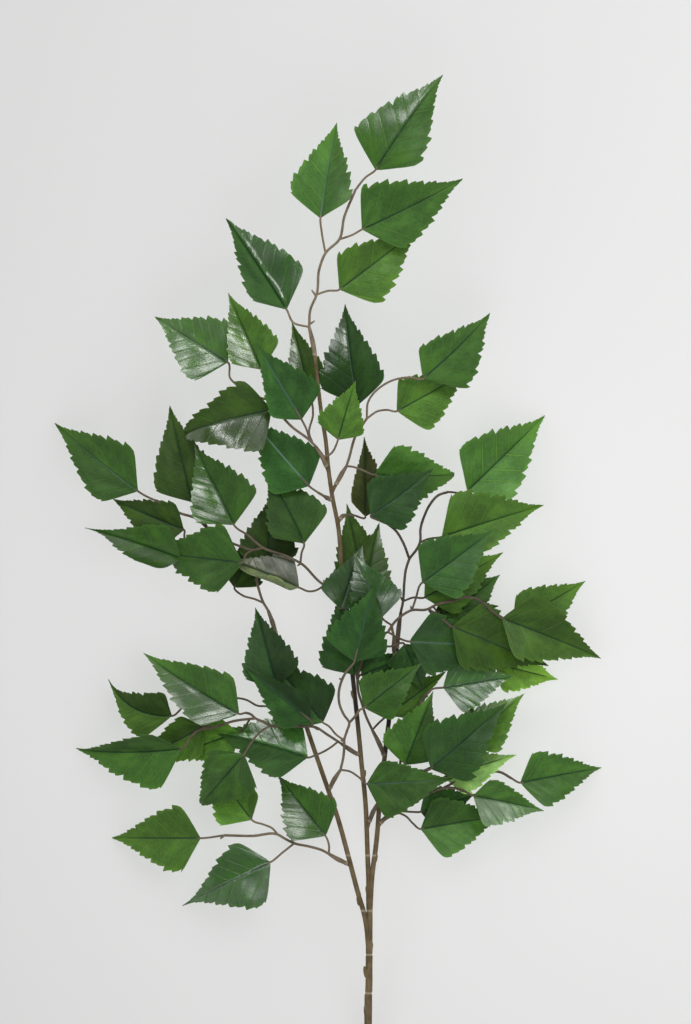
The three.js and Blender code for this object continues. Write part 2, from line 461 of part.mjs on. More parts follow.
// One side spray: its sleeve, wires, spurs and leaves in one solid.
function spray(entry) {
  const [middle, narrow] = entry.sleeve;
  const way = v(entry.stub[1]).sub(v(entry.stub[0])).normalize();
  const mouth = v(entry.stub[1]).addScaledVector(way, SEAT_GAP).toArray();
  const collar = v(entry.stub[1]).addScaledVector(way, COLLAR).toArray();
  const skin = [
    [...mouth, SLEEVE_MOUTH], [...collar, SLEEVE], [...middle, SLEEVE], [...narrow, AXIS + LIP],
  ];
  const pieces = [bar(skin, SLEEVE_SIDES)];
  const laid = [[mouth, collar, middle, narrow]];
  for (const wire of entry.wires) {
    pieces.push(bar(wire.map((p) => [...p, AXIS]), WIRE_SIDES));
    laid.push(wire);
  }
  for (const [root, point] of entry.spurs) {
    pieces.push(bar([[...root, SPUR_ROOT], [...point, SPUR_POINT]], WIRE_SIDES));
  }
  for (const leaf of entry.leaves) {
    const [, fork, bends, base, tip, , , roll] = leaf;
    const f = leafFrame(base, tip, roll);
    const end = v(base).addScaledVector(f.along, RIB).addScaledVector(f.up, -RIB_DEPTH).toArray();
    const path = withHeights(nearest(laid, fork), bends, base);
    pieces.push(bar([...path, end].map((p) => [...p, WIRE]), WIRE_SIDES));
    pieces.push(blade(leaf));
    laid.push(path);
  }
  return joined(pieces);
}

// The sprays that continue a leg have their seat on the leg's own end.
const LEG_OF = {
  crown_spray: CENTRE_LEG,
  left_fork_tip_spray: LEFT_LEG,
  right_fork_tip_spray: RIGHT_LEG,
};
for (const entry of SPRAYS) {
  const leg = LEG_OF[entry.node];
  if (leg) entry.stub = leg.slice(-2).map((p) => p.slice(0, 3));
}

// The stem: three legs, the stubs that carry the sprays, and the buds.
function stem() {
  const pieces = [bar(CENTRE_LEG, STEM_SIDES), bar(LEFT_LEG, STEM_SIDES), bar(RIGHT_LEG, STEM_SIDES)];
  for (const { node, stub } of SPRAYS) {
    if (!LEG_OF[node]) pieces.push(bar(stub.map((p) => [...p, STUB]), SLEEVE_SIDES));
  }
  for (const [root, point, r] of BUDS) {
    pieces.push(bar([[...root, r], [...point, BUD_POINT]], WIRE_SIDES));
  }
  return joined(pieces);
}

const made = [['stem', stem()], ...SPRAYS.map((entry) => [entry.node, spray(entry)])];

// The whole part is set with the middle of its box over the origin and its lowest point at 0.
const box = new THREE.Box3();
for (const [, body] of made) {
  const b = body.boundingBox();
  box.expandByPoint(v(b.min)).expandByPoint(v(b.max));
}
const shift = [-(box.min.x + box.max.x) / 2, -(box.min.y + box.max.y) / 2, -box.min.z];

const part = new THREE.Group();
part.name = 'birch_spray';
for (const [name, body] of made) {
  const { vertProperties, triVerts } = body.translate(shift).getMesh();
  const geometry = new THREE.BufferGeometry();
  geometry.setAttribute('position', new THREE.BufferAttribute(vertProperties, 3));
  geometry.setIndex(new THREE.BufferAttribute(triVerts, 1));
  const color = name === 'stem' ? STEM_COLOUR : LEAF_COLOUR;
  const piece = new THREE.Mesh(geometry, new THREE.MeshStandardMaterial({ color }));
  piece.name = name;
  part.add(piece);
}

export default part;
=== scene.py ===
# %% [markdown]
# # A lying artificial birch spray
# The real object is a leafy spray made of covered wire and coated leaf fabric: a jointed brown stem
# that forks in three, sixteen side pieces pushed on its stubs, and 73 toothed leaves. It could be
# scattered by a particle system, but the leaves would then stand anywhere. Here each wire and each
# leaf is set one by one, on the same numbers as the part's own source, and only finer in shape.
#
# The packed model comes first, as the frame that everything else is built round.

import math

import bpy
import numpy as np
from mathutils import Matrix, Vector


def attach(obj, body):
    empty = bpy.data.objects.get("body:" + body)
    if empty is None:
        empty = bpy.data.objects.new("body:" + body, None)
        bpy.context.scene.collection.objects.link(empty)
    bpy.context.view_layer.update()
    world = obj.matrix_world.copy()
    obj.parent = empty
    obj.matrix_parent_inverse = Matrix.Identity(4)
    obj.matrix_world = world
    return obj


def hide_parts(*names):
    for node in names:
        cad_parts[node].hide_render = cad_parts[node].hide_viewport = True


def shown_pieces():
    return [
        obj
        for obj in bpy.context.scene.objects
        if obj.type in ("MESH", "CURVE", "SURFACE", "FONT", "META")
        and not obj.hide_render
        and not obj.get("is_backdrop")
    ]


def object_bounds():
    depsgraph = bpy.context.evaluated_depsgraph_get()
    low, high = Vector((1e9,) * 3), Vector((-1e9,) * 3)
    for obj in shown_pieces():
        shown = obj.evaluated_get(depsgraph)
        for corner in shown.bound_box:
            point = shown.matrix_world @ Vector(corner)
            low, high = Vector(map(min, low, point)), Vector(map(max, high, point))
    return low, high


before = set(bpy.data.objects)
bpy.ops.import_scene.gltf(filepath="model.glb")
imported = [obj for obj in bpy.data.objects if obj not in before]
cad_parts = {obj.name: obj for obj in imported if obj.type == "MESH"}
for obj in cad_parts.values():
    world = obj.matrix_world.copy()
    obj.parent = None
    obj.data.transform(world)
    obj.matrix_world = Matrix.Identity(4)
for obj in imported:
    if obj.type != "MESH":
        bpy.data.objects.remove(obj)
cad_low, cad_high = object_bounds()
print("frame:", len(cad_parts), "nodes, box", [round(x, 4) for x in cad_high - cad_low])

# %% [markdown]
# The part's source is written in millimetres, and it sets the whole part over the origin at its
# end. The same small step is made here, so that every number below is the source's own.

# %% Units
MM = 0.001
SET_DOWN = np.array([0.023, -0.034, 0.176])


def metres(points):
    return (np.asarray(points, float) + SET_DOWN) * MM


print("the source's origin lies at", metres([0, 0, 0]).round(6).tolist())

# %% [markdown]
# A covered wire on the real spray bends softly, with no corners. A curve object with a bevel could
# do that, but a mesh tube keeps its own rings, which the marks and swellings of the stem need. So a
# path's points are joined by a curve that goes through each of them, and a ring of points is set
# round every place on it.

# %% Smooth paths and tubes
WIRE_STEP = 1.5
NOT_ALONG_A_WIRE = [0.02, 0.03, 1]


def smooth(path, step):
    """A soft curve through all the points of a path. Each row is x, y, z and radius."""
    p = np.array(path, float)
    gap = np.linalg.norm(np.diff(p[:, :3], axis=0), axis=1)
    slope = np.diff(p[:, :3], axis=0) / gap[:, None]
    lean = np.vstack([slope[:1], slope, slope[-1:]])
    before = np.concatenate([gap[:1], gap])[:, None]
    after = np.concatenate([gap, gap[-1:]])[:, None]
    tangent = (lean[:-1] * after + lean[1:] * before) / (before + after)
    rows = []
    for i, length in enumerate(gap):
        count = max(1, int(round(length / step)))
        for u in np.arange(count) / count:
            place = ((2 * u**3 - 3 * u**2 + 1) * p[i, :3] + (u**3 - 2 * u**2 + u) * length * tangent[i]
                     + (3 * u**2 - 2 * u**3) * p[i + 1, :3] + (u**3 - u**2) * length * tangent[i + 1])
            rows.append([*place, p[i, 3] + (p[i + 1, 3] - p[i, 3]) * u])
    rows.append(p[-1])
    return np.array(rows)


def tube(path, sides, step=WIRE_STEP):
    """A closed tube along a path: its points, its faces, and a place on its skin for each point."""
    rings = smooth(path, step)
    along = np.gradient(rings[:, :3], axis=0)
    along /= np.linalg.norm(along, axis=1)[:, None]
    run = np.concatenate([[0], np.cumsum(np.linalg.norm(np.diff(rings[:, :3], axis=0), axis=1))])
    turn = np.linspace(0, 2 * math.pi, sides, endpoint=False)
    side = np.cross(NOT_ALONG_A_WIRE, along[0])
    points, skin = [], []
    for ring, way, far in zip(rings, along, run):
        side = side - way * (side @ way)
        side /= np.linalg.norm(side)
        round_it = np.outer(np.cos(turn), side) + np.outer(np.sin(turn), np.cross(way, side))
        points.append(ring[:3] + ring[3] * round_it)
        skin.append(np.column_stack([np.cos(turn), np.sin(turn), np.full(sides, far)]))
    first = np.arange(len(rings) - 1)[:, None] * sides + np.arange(sides)
    second = np.arange(len(rings) - 1)[:, None] * sides + (np.arange(sides) + 1) % sides
    quads = np.stack([first, second, second + sides, first + sides], axis=2).reshape(-1, 4)
    last = (len(rings) - 1) * sides
    ends = [list(range(sides))[::-1], list(range(last, last + sides))]
    return np.vstack(points), quads.tolist() + ends, np.vstack(skin)


test_points, test_faces, _ = tube([[0, 0, 0, 1], [0, 30, 0, 1]], sides=12)
print("a 30 mm wire has", len(test_points), "points and", len(test_faces), "faces")

# %% [markdown]
# Each side spray is two pieces in the scene: its wires, and its leaves. Both stand for the spray's
# one solid in the model. A pile gathers shells that end up in one mesh, with what the materials
# need to know at each point, and then makes the object.

# %% Piles of shells
SHARP = math.radians(40)


class Pile:
    """Shells that become one piece of the scene."""

    def __init__(self):
        self.points, self.faces, self.finish = [], [], []
        self.facts = {}
        self.count = 0

    def add(self, points, faces, finish=None, **facts):
        """Adds a shell. Each fact is a list of three or four numbers for every point."""
        self.points.append(np.asarray(points, float))
        self.faces += [[i + self.count for i in face] for face in faces]
        self.finish += finish or [0] * len(faces)
        for name, rows in facts.items():
            self.facts.setdefault(name, []).append(np.asarray(rows, float))
        self.count += len(points)

    def build(self, name, materials, replaced, slot):
        mesh = bpy.data.meshes.new(name)
        mesh.from_pydata(metres(np.vstack(self.points)), [], self.faces)
        for material in materials:
            mesh.materials.append(material)
        mesh.polygons.foreach_set("material_index", self.finish)
        for fact, rows in self.facts.items():
            rows = np.vstack(rows).astype(np.float32)
            kind, field = ("FLOAT_COLOR", "color") if rows.shape[1] == 4 else ("FLOAT_VECTOR", "vector")
            mesh.attributes.new(fact, kind, "POINT").data.foreach_set(field, rows.ravel())
        mesh.shade_smooth()
        mesh.set_sharp_from_angle(angle=SHARP)
        piece = bpy.data.objects.new(name, mesh)
        bpy.context.scene.collection.objects.link(piece)
        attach(piece, "root")
        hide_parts(replaced)
        return piece


print("edges steeper than", round(math.degrees(SHARP)), "degrees stay sharp")

# %% [markdown]
# A material here is a net of nodes. A net's words keep its lines short: each adds a node or two and
# fills their inputs, where an input may be a number or another node's output. An output can be added
# and multiplied like a number, and each such sum is a node too.

# %% Nets for materials
class Value:
    """An output of a node, which can be added and multiplied as a number can."""

    def __init__(self, net, socket):
        self.net = net
        self.socket = socket

    def __add__(self, other):
        return self.net.maths("ADD", self, other)

    def __mul__(self, other):
        return self.net.maths("MULTIPLY", self, other)


class Net:
    """A net of nodes in a tree that is given."""

    def __init__(self, tree):
        self.tree = tree

    def add(self, kind, inputs=(), **settings):
        """Adds a node. An input may be a number, a colour or an output of another node."""
        made = self.tree.nodes.new("ShaderNode" + kind)
        for name, value in settings.items():
            setattr(made, name, value)
        for name, value in dict(inputs).items():
            if isinstance(value, Value):
                self.tree.links.new(value.socket, made.inputs[name])
            else:
                made.inputs[name].default_value = value
        return made

    def node(self, kind, inputs=(), output=0, **settings):
        return Value(self, self.add(kind, inputs, **settings).outputs[output])

    def maths(self, operation, *values):
        return self.node("Math", dict(enumerate(values)), operation=operation)

    def ramp(self, value, low, high, start=0.0, end=1.0):
        """Goes softly from start to end while the value goes from low to high."""
        inputs = {"Value": value, "From Min": low, "From Max": high, "To Min": start, "To Max": end}
        return self.node("MapRange", inputs, interpolation_type="SMOOTHSTEP")

    def fading(self, value, low, high, end=0.0):
        """Goes softly down from 1 while the value goes from low to high."""
        return self.ramp(value, low, high, 1.0, end)

    def mixed(self, share, first, second, way="MIX"):
        return self.node("Mix", {0: share, 6: first, 7: second}, 2, data_type="RGBA", blend_type=way)

    def toned(self, colour, tone):
        return self.node("VectorMath", {0: colour, "Scale": tone}, operation="SCALE")

    def noise(self, vector, scale, detail=3.0, roughness=0.55):
        inputs = {"Vector": vector, "Scale": scale, "Detail": detail, "Roughness": roughness}
        return self.node("TexNoise", inputs)

    def known(self, name, kind="Vector"):
        """What the points of a piece carry under a name."""
        return self.node("Attribute", (), kind, attribute_name=name)

    def three(self, vector):
        """The three numbers of a vector."""
        return [Value(self, number) for number in self.add("SeparateXYZ", {0: vector}).outputs]

    def relief(self, height, depth, strength):
        return self.node("Bump", {"Height": height, "Distance": depth, "Strength": strength})

    def finish(self, **coat):
        """Ends a material with a surface of this coat, whose words are the surface's own inputs."""
        inputs = {name.replace("_", " "): value for name, value in coat.items()}
        self.add("OutputMaterial", {"Surface": self.node("BsdfPrincipled", inputs)})


def new_material(name):
    material = bpy.data.materials.new(name)
    material.use_nodes = True
    material.node_tree.nodes.clear()
    return material, Net(material.node_tree)


print("words of a net:", ", ".join(word for word in vars(Net) if word[0] != "_"))

# %% [markdown]
# The stem and the wires of the real spray wear a soft brown plastic cover, moulded with fine lines
# that run along it, darker in its hollows and rubbed pale on its ridges. Noise that is stretched
# along the tube gives those lines: each point knows its place round the tube and its run along it,
# so the lines follow every bend.

# %% Brown covered wire
# Painted shade: the near-black brown that a cover is painted towards where it lies in the leaves' shade.
PAINTED_SHADE_BROWN = (0.016, 0.014, 0.012, 1)
# A pale brown for the rubbed rings of the stem, and for the lips of the sleeves, where it is partly their
# own paler plastic and partly a painted highlight.
PALE_COVER = (0.40, 0.335, 0.235, 1)
LINES_SCALE, PATCH_SCALE, GRAIN_SCALE = 3.2, 90.0, 1400.0
COVER_RELIEF = 0.0006


def covered_wire(name, dark, light, stretch, streaks):
    material, net = new_material(name)
    long_way = net.node("VectorMath", {0: net.known("skin"), 1: (1.0, 1.0, stretch)}, operation="MULTIPLY")
    place = net.node("TexCoord", output="Object")
    lines = net.noise(long_way, LINES_SCALE, 4.0)
    patches = net.noise(place, PATCH_SCALE, 2.0)
    grain = net.noise(place, GRAIN_SCALE, 2.0)
    colour = net.mixed(net.ramp(lines * streaks + patches * (1 - streaks), 0.30, 0.66), dark, light)
    # Painted shade: the colour goes towards the near-black brown by the point's shaded share.
    paled, shaded, _ = net.three(net.known("wear"))
    colour = net.mixed(paled, net.mixed(shaded, colour, PAINTED_SHADE_BROWN), PALE_COVER)
    net.finish(Base_Color=colour, Roughness=net.ramp(grain, 0.2, 0.8, 0.46, 0.66), Specular_IOR_Level=0.2,
               Normal=net.relief(lines + grain * 0.35, COVER_RELIEF, 0.55))
    return material


stem_plastic = covered_wire("stem_plastic", (0.066, 0.047, 0.022, 1), (0.165, 0.122, 0.066, 1),
                            stretch=0.05, streaks=0.45)
wire_plastic = covered_wire("wire_plastic", (0.090, 0.069, 0.045, 1), (0.250, 0.195, 0.132, 1),
                            stretch=0.08, streaks=0.6)
print("made", stem_plastic.name, "and", wire_plastic.name)

# %% [markdown]
# The stem is what carries everything. On the real one three covered wires run side by side at the
# cut end, and part at the forks, where the cover is moulded over all of them. It has ring marks where
# the mould's parts met, short stubs that take the sleeves, and small closed buds. One long tube for
# each leg, laid into each other at the forks, keeps the joints as visible as on the real stem.

# %% Stem
CENTRE_LEG = [
    [31.0, -425, 2.9, 3.05], [31.4, -395, 3.1, 3.05], [32.0, -350, 4.8, 3.05], [32.3, -322, 7.0, 3.15],
    [32.4, -313.4, 7.6, 3.1], [32.5, -312, 7.7, 2.55], [32.6, -310.6, 7.8, 2.9], [32.9, -290, 9.7, 2.8],
    [33.0, -282.2, 10.4, 2.85], [33.0, -281, 10.5, 2.4], [33.0, -279.8, 10.6, 2.75],
    [33.1, -262, 12.6, 2.65], [33.2, -246.8, 14.6, 2.4], [33.1, -245.6, 14.7, 2.1],
    [33.0, -244.4, 14.9, 2.3], [32.6, -224, 17.5, 2.0], [31.8, -203, 20.0, 1.95],
    [29.8, -156, 26.0, 1.9], [26.7, -125.6, 30.0, 1.9], [24.8, -105, 33.0, 1.85], [21.6, -74, 37.0, 1.85],
    [19.0, -50, 40.0, 1.8], [14.6, -8, 45.0, 1.8], [10.8, 32, 49.0, 1.75], [8.0, 64, 52.0, 1.75],
    [4.0, 84, 54.0, 1.7], [0.0, 112, 56.0, 1.7], [-1.6, 130, 57.0, 1.65], [-4.8, 150, 57.5, 1.6],
    [-8.4, 180, 57.5, 1.55], [-10.5, 200, 57.0, 1.5],
]
LEFT_LEG = [
    [32.6, -280, 11.4, 2.0], [31.9, -268, 12.9, 2.1], [30.8, -258, 14.2, 2.0], [28.9, -248, 15.2, 2.0],
    [24.8, -234, 16.0, 2.0], [16.6, -203, 18.4, 1.95],
    [7.2, -169, 22.5, 1.9], [0.0, -148, 25.0, 1.85], [-10.0, -119, 29.0, 1.8], [-17.1, -98, 31.5, 1.8],
    [-27.0, -68, 34.5, 1.75], [-35.5, -42, 37.5, 1.7], [-42.0, -22, 39.5, 1.6],
]
RIGHT_LEG = [
    [33.4, -250, 14.6, 2.2], [34.0, -238, 16.4, 2.15], [35.2, -219, 19.0, 2.05], [37.2, -202.4, 20.4, 2.0],
    [37.4, -201, 20.5, 1.75], [37.6, -199.6, 20.6, 2.0],
    [40.0, -177, 22.4, 1.95], [41.0, -161, 24.4, 1.95], [45.1, -124, 29.5, 1.9], [49.2, -89, 34.0, 1.85],
    [53.4, -55, 39.0, 1.8], [55.2, -34, 41.5, 1.65],
]
STUBS = {
    "upper_left_spray": ([0.8, 106, 55.4], [-1.6, 111.6, 59.2]),
    "upper_right_spray": ([3.4, 91, 54.6], [6.8, 97.2, 55.8]),
    "left_leaf": ([4.4, 83, 54.2], [1.6, 84.6, 56.4]),
    "right_leaf": ([7.4, 65.5, 52.2], [9.8, 69.0, 51.4]),
    "left_upper_spray": ([12.0, 9, 47.4], [9.4, 11.0, 50.2]),
    "right_mid_spray": ([45.3, -123, 30.2], [44.4, -119.6, 33.6]),
    "centre_spray": ([15.0, -12, 44.0], [17.8, -9.6, 41.4]),
    "centre_right_leaf": ([54.8, -43, 40.6], [53.4, -38.6, 43.8]),
    "left_mid_spray": ([26.0, -120.6, 31.0], [23.2, -119.2, 34.4]),
    "left_fork_side_spray": ([0.4, -149.4, 25.0], [1.9, -146.0, 28.4]),
    "lower_left_spray": ([18.4, -209.4, 17.6], [14.4, -207.2, 20.6]),
    "lower_centre_spray": ([31.2, -179, 23.2], [33.4, -173.0, 26.4]),
    "lower_right_spray": ([40.0, -178, 22.4], [42.6, -174.4, 25.0]),
}
STUB = 1.45
STUB_ROOT = STUB + 0.25
STEM_SIDES, STEM_STEP = 20, 0.8
STUB_SIDES, STUB_STEP = 12, 1.0
RINGS = (-312, -281, -245.6, -201)
RING_WIDE, RING_RUBBED = 0.7, 0.75
SHADE_FADES = 40
# Painted shade: each leg is painted darker between low and high along y, fading in and out over SHADE_FADES
# mm, where it runs under the leaves.
SHADY = ((CENTRE_LEG, -125, 45, 0.85), (LEFT_LEG, -105, 20, 0.7), (RIGHT_LEG, -150, 20, 0.95))


def paled_and_shaded(points, paled=0.0, shaded=0.0):
    """What the cover's material needs to know at each point: how much paler it is, and how much painted
    shade it takes.
    """
    wear = np.zeros_like(points)
    wear[:, 0] = paled
    wear[:, 1] = shaded
    return wear


def stem_wear(points, low, high, shade):
    """The cover is scuffed pale at the rings, and painted darker, as shade, where the leg runs under the
    leaves.
    """
    y = points[:, 1]
    paled = np.max([RING_RUBBED * np.exp(-((y - ring) / RING_WIDE) ** 2) for ring in RINGS], axis=0)
    shaded = shade * np.clip((y - low) / SHADE_FADES, 0, 1) * np.clip((high - y) / SHADE_FADES, 0, 1)
    return paled_and_shaded(points, paled, shaded)


stem = Pile()
for leg, low, high, shade in SHADY:
    points, faces, skin = tube(leg, STEM_SIDES, STEM_STEP)
    stem.add(points, faces, skin=skin, wear=stem_wear(points, low, high, shade))
for root, end in STUBS.values():
    rows = [[*root, STUB_ROOT], [*np.add(root, end) / 2, STUB], [*end, STUB]]
    points, faces, skin = tube(rows, STUB_SIDES, STUB_STEP)
    stem.add(points, faces, skin=skin, wear=paled_and_shaded(points))
print("legs and stubs:", len(stem.faces), "faces")

# %% [markdown]
# The buds are closed scales that lie close to the stem and point up along it. Each one is a short
# tube that swells and runs out to a point.

# %% Buds
BUDS = [
    [[30.9, -299, 9.4], [29.0, -290.2, 10.6], 1.6], [[34.2, -278, 11.2], [35.4, -270.4, 12.6], 1.3],
    [[25.2, -241, 15.4], [23.4, -233.4, 16.6], 1.4], [[32.4, -233, 17.6], [30.6, -225.4, 18.8], 1.4],
    [[37.8, -206, 20.0], [39.2, -199.6, 21.2], 1.3], [[28.4, -139, 28.4], [30.0, -132.2, 30.0], 1.3],
    [[20.8, -75, 37.0], [18.4, -68.4, 38.4], 1.2], [[31.0, -331, 6.4], [29.6, -321.6, 7.6], 1.6],
]
BUD_FORM = ((0.0, 0.95), (0.3, 1.1), (0.6, 1.0), (0.82, 0.72), (0.94, 0.4), (1.0, 0.15))
for root, point, radius in BUDS:
    way = np.subtract(point, root)
    rows = [[*(root + way * share), radius * swell] for share, swell in BUD_FORM]
    points, faces, skin = tube(rows, STUB_SIDES, STEM_STEP)
    stem.add(points, faces, skin=skin, wear=paled_and_shaded(points))
stem_piece = stem.build("stem_cover", [stem_plastic], "stem", "stem")
print("stem:", len(stem_piece.data.polygons), "faces, with", len(BUDS), "buds")

# %% [markdown]
# The leaves are printed and coated fabric, pressed in a hot mould that gives them a sunken midrib
# and side veins that run out to the edge. Each point of a leaf knows its place on the blade, so the
# veins can be drawn at any size by a few sums, with no picture: rows that lean as the veins do are
# counted, and where the count is close to a whole number there is a vein. A little noise sets
# the veins of every leaf at distances of their own.

# %% Veins
VEINS = 6.5
VEIN_WANDER = 1.3


def veins(net, place, from_midrib, seed):
    """How far a place is on a side vein, close beside one, up the pleat between two, on the midrib."""
    vein_row, across, length_share = place
    right_half = net.maths("GREATER_THAN", across, 0.0)
    wander = net.noise(net.node("CombineXYZ", {0: vein_row, 1: right_half, 2: seed}), 3.0, 0.0)
    count = vein_row * VEINS + right_half * 0.5 + wander * VEIN_WANDER
    beside = net.maths("PINGPONG", count, 0.5)
    reach = net.fading(length_share, 0.72, 0.90)
    to_edge = net.fading(net.maths("ABSOLUTE", across), 0.70, 1.0, 0.2)
    rib_side = length_share * 0.45 + from_midrib
    return (net.fading(beside, 0.01, 0.065) * reach * to_edge,
            net.fading(beside, 0.05, 0.16) * reach,
            net.maths("SINE", beside * math.pi) * reach,
            net.fading(rib_side, 0.55, 1.15) * net.fading(length_share, 0.74, 0.88))


print("about", VEINS, "side veins on a half blade")

# %% [markdown]
# Between the veins the fabric has a fine ribbing. Its colour isn't even: it is blotched, paler along
# the veins, and on many leaves it fades to yellow-green at the tip. Close beside each vein it is
# painted darker as the shade of the crease, and on some leaves the midrib is painted with a pale
# highlight. Some halves have kept their coat and shine, others are dull, and the undersides are the
# dullest, with veins that stand out. So there are three materials, made by one function, and what
# differs from leaf to leaf, such as its green with the painted shade and light of its halves, is
# carried by the points.

# %% Leaf fabric
RIBBING_STRETCH, BLOTCH_STRETCH = 50.0, 3.0
WEAVE_SCALE, VEINLET_SCALE = 2400.0, 420.0
SPOT_SCALE, DAPPLE_SCALE = 800.0, 300.0
PATCHY = 0.7
YELLOWER = (1.9, 1.7, 1.15, 1)
# The colour of a painted highlight along the midrib.
PAINTED_RIB_HIGHLIGHT = (0.13, 0.24, 0.17, 1)
LEAF_RELIEF = 0.0004


def along_veins(net, place, seed, stretch, scale, detail):
    """Noise that is drawn out along the side veins."""
    drawn = net.node("CombineXYZ", {0: place[0] * stretch, 1: place[1], 2: seed})
    return net.noise(drawn, scale, detail)


def leaf_fabric(name, midrib_colour, vein_share, relief, dull, shine):
    material, net = new_material(name)
    place = net.three(net.known("place"))
    tint = net.known("tint", "Color")
    from_midrib, paleness, seed = net.three(net.known("habit"))
    roughness, veined, rib_shine = net.three(net.known("gloss"))
    side_vein, painted_vein_shade, pleat, midrib = veins(net, place, from_midrib, seed)
    ribbing = along_veins(net, place, seed, RIBBING_STRETCH, 2.0, 2.0)
    patches = along_veins(net, place, seed, BLOTCH_STRETCH, 1.3, 4.0)
    body = net.node("TexCoord", output="Object")
    weave = net.noise(body, WEAVE_SCALE, 1.0)
    cells = net.node("TexVoronoi", {"Vector": body, "Scale": VEINLET_SCALE}, "Distance",
                     feature="DISTANCE_TO_EDGE")
    veinlets = net.fading(cells, 0.0, 0.16)
    spots = net.noise(body, SPOT_SCALE, 2.0, 0.7)
    dapples = net.noise(body, DAPPLE_SCALE)

    tone = ribbing * 0.4 + (0.76 - PATCHY * 0.25) + net.ramp(patches, 0.34, 0.66) * (PATCHY * 0.5)
    tone = (tone + veinlets * 0.14) * net.ramp(spots, 0.3, 0.7, 0.86, 1.14)
    colour = net.toned(tint, tone * net.ramp(dapples, 0.3, 0.7, 0.93, 1.07))
    pale = net.mixed(1.0, tint, YELLOWER, "MULTIPLY")
    edge = net.ramp(net.maths("ABSOLUTE", place[1]), 0.86, 1.0, 0.0, 0.5)
    tip = net.ramp(place[2], 0.45, 0.98) * paleness
    yellowed = net.ramp(patches, 0.48, 0.72) * 0.45
    paler = net.maths("MAXIMUM", net.maths("MAXIMUM", tip, edge), yellowed)
    uneven = net.ramp(ribbing, 0.35, 0.65, vein_share, vein_share * 0.4)
    colour = net.mixed(side_vein * uneven * veined, net.mixed(paler, colour, pale), pale)
    # Painted shade: close beside each side vein the fabric is darkened, as the shade of its crease.
    colour = net.toned(colour, painted_vein_shade * veined * -0.12 + 1.0)
    # Painted highlight: on some leaves the midrib is painted pale, by the leaf's share, as the light line it
    # shows along its length.
    colour = net.mixed(midrib * 0.8, colour, net.mixed(rib_shine, midrib_colour, PAINTED_RIB_HIGHLIGHT))
    height = (side_vein * relief + ribbing * 0.5 + pleat * 0.8 + veinlets * -0.07 + weave * 0.1
              + dapples * 0.25)
    rough = ribbing * 0.08 + roughness + net.ramp(patches, 0.35, 0.65, dull + 0.08, dull - 0.05)
    net.finish(Base_Color=colour, Roughness=rough, Specular_IOR_Level=shine,
               Normal=net.relief(height, LEAF_RELIEF, 0.5))
    return material


UPPER = {"midrib_colour": (0.008, 0.035, 0.018, 1), "vein_share": 1.0, "relief": -0.5, "dull": -0.06}
UNDER = {"midrib_colour": (0.012, 0.045, 0.020, 1), "vein_share": 0.4, "relief": 0.5, "dull": 0.08}
leaf_face = leaf_fabric("leaf_face", shine=1.0, **UPPER)
leaf_dull = leaf_fabric("leaf_dull", shine=0.27, **UPPER)
leaf_back = leaf_fabric("leaf_back", shine=0.2, **UNDER)
print("made", leaf_face.name + ",", leaf_dull.name, "and", leaf_back.name)

# %% [markdown]
# A birch leaf is a pointed rhombus: straight smooth edges from the base to its widest place at a
# quarter of its length, then a long taper to a drawn-out tip. Its edge has large teeth, each with a
# small one on its back. A flat card with a picture of a leaf would look thin at the edge. Here the
# rows of the mesh lean forward as the side veins do, and run out into the teeth, so that each tooth
# is cut in the slant of the veins and stays sharp at any size.

# %% The leaf's outline and teeth
OUTLINE = np.array([
    [0.00, 0.00], [0.06, 0.36], [0.12, 0.70], [0.17, 0.94], [0.20, 1.01], [0.24, 1.03],
    [0.28, 1.00], [0.40, 0.87], [0.50, 0.73], [0.58, 0.60], [0.66, 0.47],
    [0.74, 0.33], [0.81, 0.21], [0.87, 0.125], [0.93, 0.062], [1.00, 0.00],
])
CORNER = 0.24
ROWS = 72
ROW_LEAN = 0.13
ROW_CROWD = 1.3
PERIOD = 8
TOOTH = 0.058
TOOTH_SIZE, TOOTH_CHANCE = (0.5, 1.4), (0.8, 1.2)
TOOTH_OUT = np.array([-1.0, -0.4, 0.1, 0.45, -0.1, 0.25, 0.7, 1.0])
TOOTH_AHEAD = np.array([-0.8, -0.2, 0.2, 0.7, 0.0, 0.3, 0.6, 1.1])
TEETH_FROM = 0.13
TEETH_GROW = 0.06
LAST_TOOTH = 0.997
MIDRIB_ROWS = 1 - (1 - np.arange(1, ROWS) / ROWS) ** ROW_CROWD


def half_edge(half, phase, taper, corner, rng):
    """The edge of one half blade. For each row: its share of the length, the smooth edge's way out
    in mm, and how far a tooth goes past it."""
    rows, t = np.arange(1, ROWS), MIDRIB_ROWS
    step = (rows + phase) % PERIOD
    size = rng.uniform(*TOOTH_SIZE, ROWS // PERIOD + 2)[(rows + phase) // PERIOD]
    size = size * rng.uniform(*TOOTH_CHANCE, ROWS - 1)
    along = t + ROW_LEAN * 4 * t * (1 - t)
    place = np.interp(along, [0, corner, 1], [0, CORNER, 1])
    plain = np.interp(place, OUTLINE[:, 0], OUTLINE[:, 1])
    plain = np.where(place > CORNER, np.minimum(plain, 1) ** taper, plain)
    grown = np.clip((place - TEETH_FROM) / TEETH_GROW, 0, 1) * np.minimum(1, 1.6 * plain + 0.08) * size
    along = np.minimum(along + TOOTH_AHEAD[step] * grown / ROWS, LAST_TOOTH)
    return along, half * plain, half * TOOTH * grown * TOOTH_OUT[step]


test_along, test_out, _ = half_edge(27, 0, 1.0, CORNER, np.random.default_rng(1))
print("a half blade of 27 mm is widest at", round(float(test_along[test_out.argmax()]), 2), "of its length")

